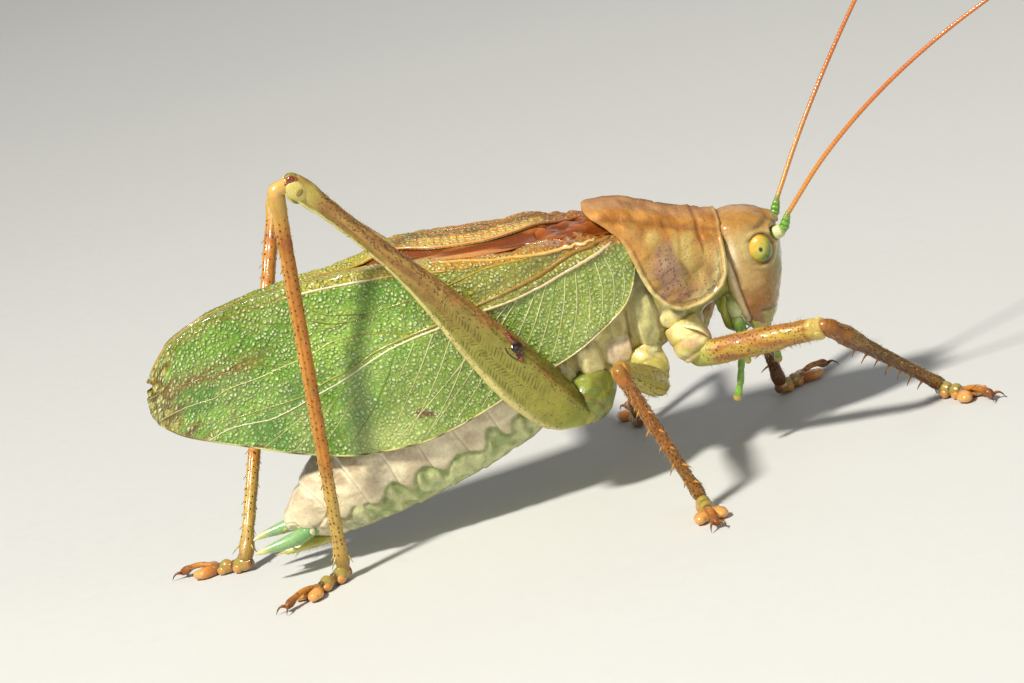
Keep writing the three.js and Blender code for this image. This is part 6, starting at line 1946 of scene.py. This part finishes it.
def thigh_ticks(clay, thigh):
    """The fine fishbone relief and the rows of small dots on the outer face of a hind thigh."""
    draw = np.random.default_rng(SEEDS["thigh_ticks"])
    for centre, slant in ((-0.12, 0.011), (-0.42, -0.011), (-0.72, 0.011)):
        for t in np.arange(0.15, 0.56, 0.0105):
            fade = float(smooth(0.56, 0.42, t) * smooth(0.14, 0.22, t))
            shift = draw.normal(0, 0.001)
            reach = draw.uniform(0.09, 0.125)
            a = thigh.at(t + shift - slant / 2, centre - reach, 0.014)
            b = thigh.at(t + shift + slant / 2, centre + reach, 0.014)
            across = unit(np.cross(thigh.off(centre), b - a))
            tone = mixed(rgb(126, 120, 56), rgb(164, 158, 90), draw.uniform(0.0, 0.9))
            clay.rod(np.linspace(a, b, 4), np.array([0.01, 0.023, 0.023, 0.01]) * (0.3 + 0.7 * fade), tone, 5,
                     flat=0.7, across=across)
    dots(clay, thigh, [0.15, 0.36, 0.57, 0.78, 0.98, 1.15], 0.03, 0.92, 0.3, 0.05,
         rgb(112, 70, 50), SEEDS["thigh_dots"], 0.7, 0.09)
    dots(clay, thigh, [-0.95, -1.12, -0.27, -0.57], 0.03, 0.5, 0.34, 0.042,
         rgb(112, 84, 46), SEEDS["thigh_low_dots"], 0.65, 0.05)


def scar(clay, thigh):
    """The healed wound on the thigh: a dark crusted ridge with a thin crack below it."""
    dark, red = rgb(26, 13, 8), rgb(150, 72, 26)
    t = np.linspace(0, 1, 40)
    course = along([[0, 0.322, 0.98], [0.3, 0.292, 0.78], [0.6, 0.27, 0.54], [0.85, 0.262, 0.36],
                    [1, 0.266, 0.28]], t)
    path = thigh.at(course[:, 0], course[:, 1], 0.02)
    width = 0.08 + 0.3 * np.sin(t * math.pi) ** 0.8 * (0.75 + 0.25 * np.sin(t * 17))
    shade = mixed(red, dark, smooth(0.15, 0.4, t) * smooth(1.0, 0.7, t))
    clay.rod(path, width, shade, 18, flat=0.32, across=np.cross(thigh.off(0.6), path[-1] - path[0]), kind=1)
    draw = np.random.default_rng(SEEDS["scar"])
    for _ in range(34):
        k = draw.integers(3, 38)
        off = draw.normal(0, 0.11)
        at = thigh.at(course[k, 0] + off * 0.05, course[k, 1] + off * 0.5, 0.04)
        big = draw.uniform(0.06, 0.13)
        tone = mixed(dark, red, smooth(0.05, 0.2, abs(off)) * 0.9)
        clay.ball(at, (thigh.axis * big, thigh.up * big, thigh.side * 0.07), tone, 0, 6, 9, kind=1)
    crack = along([[0, 0.266, 0.3], [0.35, 0.257, 0.17], [0.6, 0.27, 0.07], [0.8, 0.288, 0.08],
                   [1, 0.3, 0.16]], np.linspace(0, 1, 20))
    clay.rod(thigh.at(crack[:, 0], crack[:, 1], 0.01), 0.048, dark, 8, flat=0.7, kind=1)


# ---- the paints ------------------------------------------------------------------------------
def wing_membrane(name, shine, coat):
    """Leathery wing: small convex cells between finer cross veins, glossy on each crown, with the crowns
    painted lighter and painted white glints on some of them.
    """
    paint = Paint(name)
    place = paint.read("grain", "Vector")
    tint = paint.read("tint")
    warp = paint.node("ShaderNodeTexNoise", {"Vector": place, "Scale": 2.4, "Detail": 2.0}).outputs["Color"]
    bent = paint.vector("ADD", paint.vector("MULTIPLY", warp, (0.22, 0.22, 0.0)), place)
    cell = paint.cells(bent, 4.3, "F1")
    wall = paint.cells(bent, 4.3, "DISTANCE_TO_EDGE").outputs["Distance"]
    field = paint.cells(bent, 1.15, "DISTANCE_TO_EDGE").outputs["Distance"]
    chance = paint.chosen(cell)
    fine = paint.noise(place, 12.0, 3)
    broad = paint.noise(place, 0.9, 2)
    crown = paint.step(cell.outputs["Distance"], 0.55, 0.08)
    strong = paint.read("mark", "Fac")
    peak = paint.step(cell.outputs["Distance"], 0.36, 0.12)
    net = paint.step(wall, 0.12, 0.02)
    colour = paint.mix(1.0, tint, (0.82, 0.94, 0.66), "MULTIPLY")
    # painted highlight: the crowns of the cells lightened toward pale green
    painted_crown_light = paint.times(crown, paint.step(broad, 0.34, 0.62, 0.24, 0.74))
    colour = paint.mix(paint.times(painted_crown_light, strong, clamp=True), colour, rgb(204, 222, 158))
    # painted highlight: near-white glints on the peaks of some cells
    painted_glint = paint.times(peak, paint.step(chance, 0.3, 0.9))
    painted_glint = paint.times(painted_glint, paint.step(broad, 0.36, 0.6, 0.08, 0.42))
    colour = paint.mix(paint.times(painted_glint, strong, clamp=True), colour, rgb(236, 242, 214))
    colour = paint.mix(paint.times(net, 0.6), colour, (0.46, 0.6, 0.26), "MULTIPLY")
    lattice = paint.times(paint.step(field, 0.03, 0.008), 0.35)
    colour = paint.mix(lattice, colour, rgb(158, 160, 66))
    colour = paint.mix(0.3, colour, paint.mix(fine, (0.7, 0.72, 0.66), (1.28, 1.26, 1.25)), "MULTIPLY")
    dome = paint.times(paint.maths("SUBTRACT", crown, paint.times(net, 0.3)), strong)
    height = paint.maths("ADD", dome, paint.times(fine, 0.16))
    return paint.finish(**{
        "Base Color": colour,
        "Roughness": paint.step(fine, 0.3, 0.7, 0.26, 0.42),
        "Subsurface Weight": 0.1,
        "Subsurface Scale": 0.0003,
        "Subsurface Radius": (0.7, 1.0, 0.3),
        "Specular IOR Level": shine,
        "Coat Weight": coat,
        "Coat Roughness": 0.06,
        "Normal": paint.bump(height, 0.085),
    })


def compound_eye():
    paint = Paint("eye_facets")
    place = paint.read("grain", "Vector")
    facet = paint.cells(place, 17.0, "F1", 0.35).outputs["Distance"]
    shade = paint.step(facet, 0.55, 0.1, 0.9, 1.06)
    # painted highlight: each facet lighter in its middle and darker at its edge
    painted_facet_gleam = paint.mix(shade, (0.8, 0.8, 0.7), (1.15, 1.15, 1.1))
    glow = paint.mix(0.35, paint.read("tint"), painted_facet_gleam, "MULTIPLY")
    return paint.finish(**{
        "Base Color": glow,
        "Roughness": paint.step(facet, 0.1, 0.6, 0.16, 0.26),
        "Subsurface Weight": 0.3,
        "Subsurface Scale": 0.0003,
        "Subsurface Radius": (1.0, 1.0, 0.4),
        "Coat Weight": 1.0,
        "Coat Roughness": 0.04,
        "Normal": paint.bump(paint.step(facet, 0.6, 0.0), 0.006),
    })


def floor_paint():
    paint = Paint("pale_floor")
    place = paint.node("ShaderNodeTexCoord").outputs["Object"]
    grain = paint.noise(place, 900.0, 3)
    broad = paint.noise(place, 14.0, 2)
    colour = paint.mix(broad, (0.57, 0.58, 0.58), (0.61, 0.62, 0.62))
    return paint.finish(**{
        "Base Color": colour,
        "Roughness": paint.step(grain, 0.2, 0.8, 0.6, 0.75),
        "Normal": paint.bump(grain, 0.01),
    })


# ---- making it all ---------------------------------------------------------------------------
body_paint = cuticle("body_cuticle_paint", dots=(6.0, 0.3, 0.4), dot_colour=(112, 74, 44), rough=0.3,
                     coat=0.55, cast=(1.02, 1.0, 0.9))
head_paint = cuticle("head_cuticle_paint", dots=(9.0, 0.3, 0.35), dot_colour=(140, 96, 66), rough=0.28,
                     coat=0.55, cast=(0.84, 0.8, 0.64))
shield_paint = cuticle("pronotum_paint", dots=(7.0, 0.4, 0.5), dot_colour=(116, 76, 78), rough=0.34,
                       lumps=0.018, coat=0.26, cast=(0.84, 0.8, 0.64), shine=0.2)
leg_paint = cuticle("leg_paint", dots=(5.6, 0.42, 0.5), dot_colour=(104, 56, 38), rough=0.38,
                    coat=0.26, cast=(0.76, 0.73, 0.48))
joint_paint = cuticle("joint_paint", dots=(9.0, 0.3, 0.4), dot_colour=(90, 50, 30), rough=0.22, lumps=0.006,
                      veil=0.1, coat=0.9, cast=(0.88, 0.84, 0.66))
soft_paint = cuticle("soft_parts_paint", dots=(5.0, 0.3, 0.3), dot_colour=(80, 80, 40), rough=0.26,
                     glow=0.25, coat=0.7, cast=(0.86, 0.9, 0.78))
vein_paint = cuticle("vein_paint", rough=0.24, lumps=0.008, coat=0.6, cast=(0.92, 0.92, 0.8))
wing_paint = {
    "right": wing_membrane("tegmen_cells", 0.4, 0.9),
    "left": wing_membrane("song_field_cells", 0.15, 0.35),
}
eye_paint = compound_eye()

trunk_skin(body_paint)
head_piece(head_paint)
mouthparts(soft_paint)
pronotum(shield_paint)
genital_plate(soft_paint)
for name in SIDES:
    eye_piece(name, eye_paint)
    feeler(name, joint_paint)
    tegmen(name, [wing_paint[name], vein_paint])
    cercus(name, soft_paint)
for stance in STANCE:
    leg(stance, [leg_paint, joint_paint])

# ---- floor, light and camera -----------------------------------------------------------------
FLOOR_HALF = 1.5
corners = [(x * FLOOR_HALF, y * FLOOR_HALF, 0) for x, y in ((-1, -1), (1, -1), (1, 1), (-1, 1))]
mesh = bpy.data.meshes.new("floor")
mesh.from_pydata(corners, [], [(0, 1, 2, 3)])
mesh.materials.append(floor_paint())
floor = bpy.data.objects.new("floor", mesh)
bpy.context.scene.collection.objects.link(floor)

AIM = Vector(ORIGIN / MM)


def area_light(name, direction, distance, size, power, colour):
    data = bpy.data.lights.new(name, "AREA")
    data.shape, data.size, data.energy, data.color = "DISK", size, power, colour
    lamp = bpy.data.objects.new(name, data)
    bpy.context.scene.collection.objects.link(lamp)
    way = Vector(direction).normalized()
    lamp.location = AIM + way * distance
    lamp.rotation_euler = way.to_track_quat("Z", "Y").to_euler()


area_light("key", direction=(-0.45, -0.44, 0.78), distance=0.4, size=0.05, power=2.55,
           colour=(1.0, 0.95, 0.84))
area_light("fill", direction=(0.75, -0.8, 0.35), distance=0.5, size=0.35, power=0.36,
           colour=(1.0, 0.98, 0.93))
area_light("rim", direction=(0.2, 0.9, 0.6), distance=0.5, size=0.3, power=0.12,
           colour=(1.0, 0.98, 0.94))

world = bpy.data.worlds.new("studio")
world.use_nodes = True
background = world.node_tree.nodes["Background"]
background.inputs["Color"].default_value = (0.97, 0.98, 1.0, 1)
background.inputs["Strength"].default_value = 0.24
scene = bpy.context.scene
scene.world = world
scene.view_settings.view_transform = "Standard"

# the camera looks along +Y from the animal's right, a little from above, and is rolled so that
# the floor rises toward the head
PITCH, ROLL, RANGE, LENS, SENSOR = math.radians(14), math.radians(16), 0.235, 157, 36
NEAREST = 0.001
level = Vector((1, 0, 0))
raised = Vector((0, math.sin(PITCH), math.cos(PITCH)))
toward = Vector((0, -math.cos(PITCH), math.sin(PITCH)))
right = level * math.cos(ROLL) - raised * math.sin(ROLL)
upward = level * math.sin(ROLL) + raised * math.cos(ROLL)
lens = bpy.data.cameras.new("camera")
lens.lens, lens.sensor_width, lens.clip_start = LENS, SENSOR, NEAREST
camera = bpy.data.objects.new("camera", lens)
scene.collection.objects.link(camera)
turned = Matrix((right, upward, toward)).transposed().to_4x4()
camera.matrix_world = Matrix.Translation(AIM + toward * RANGE) @ turned
scene.camera = camera
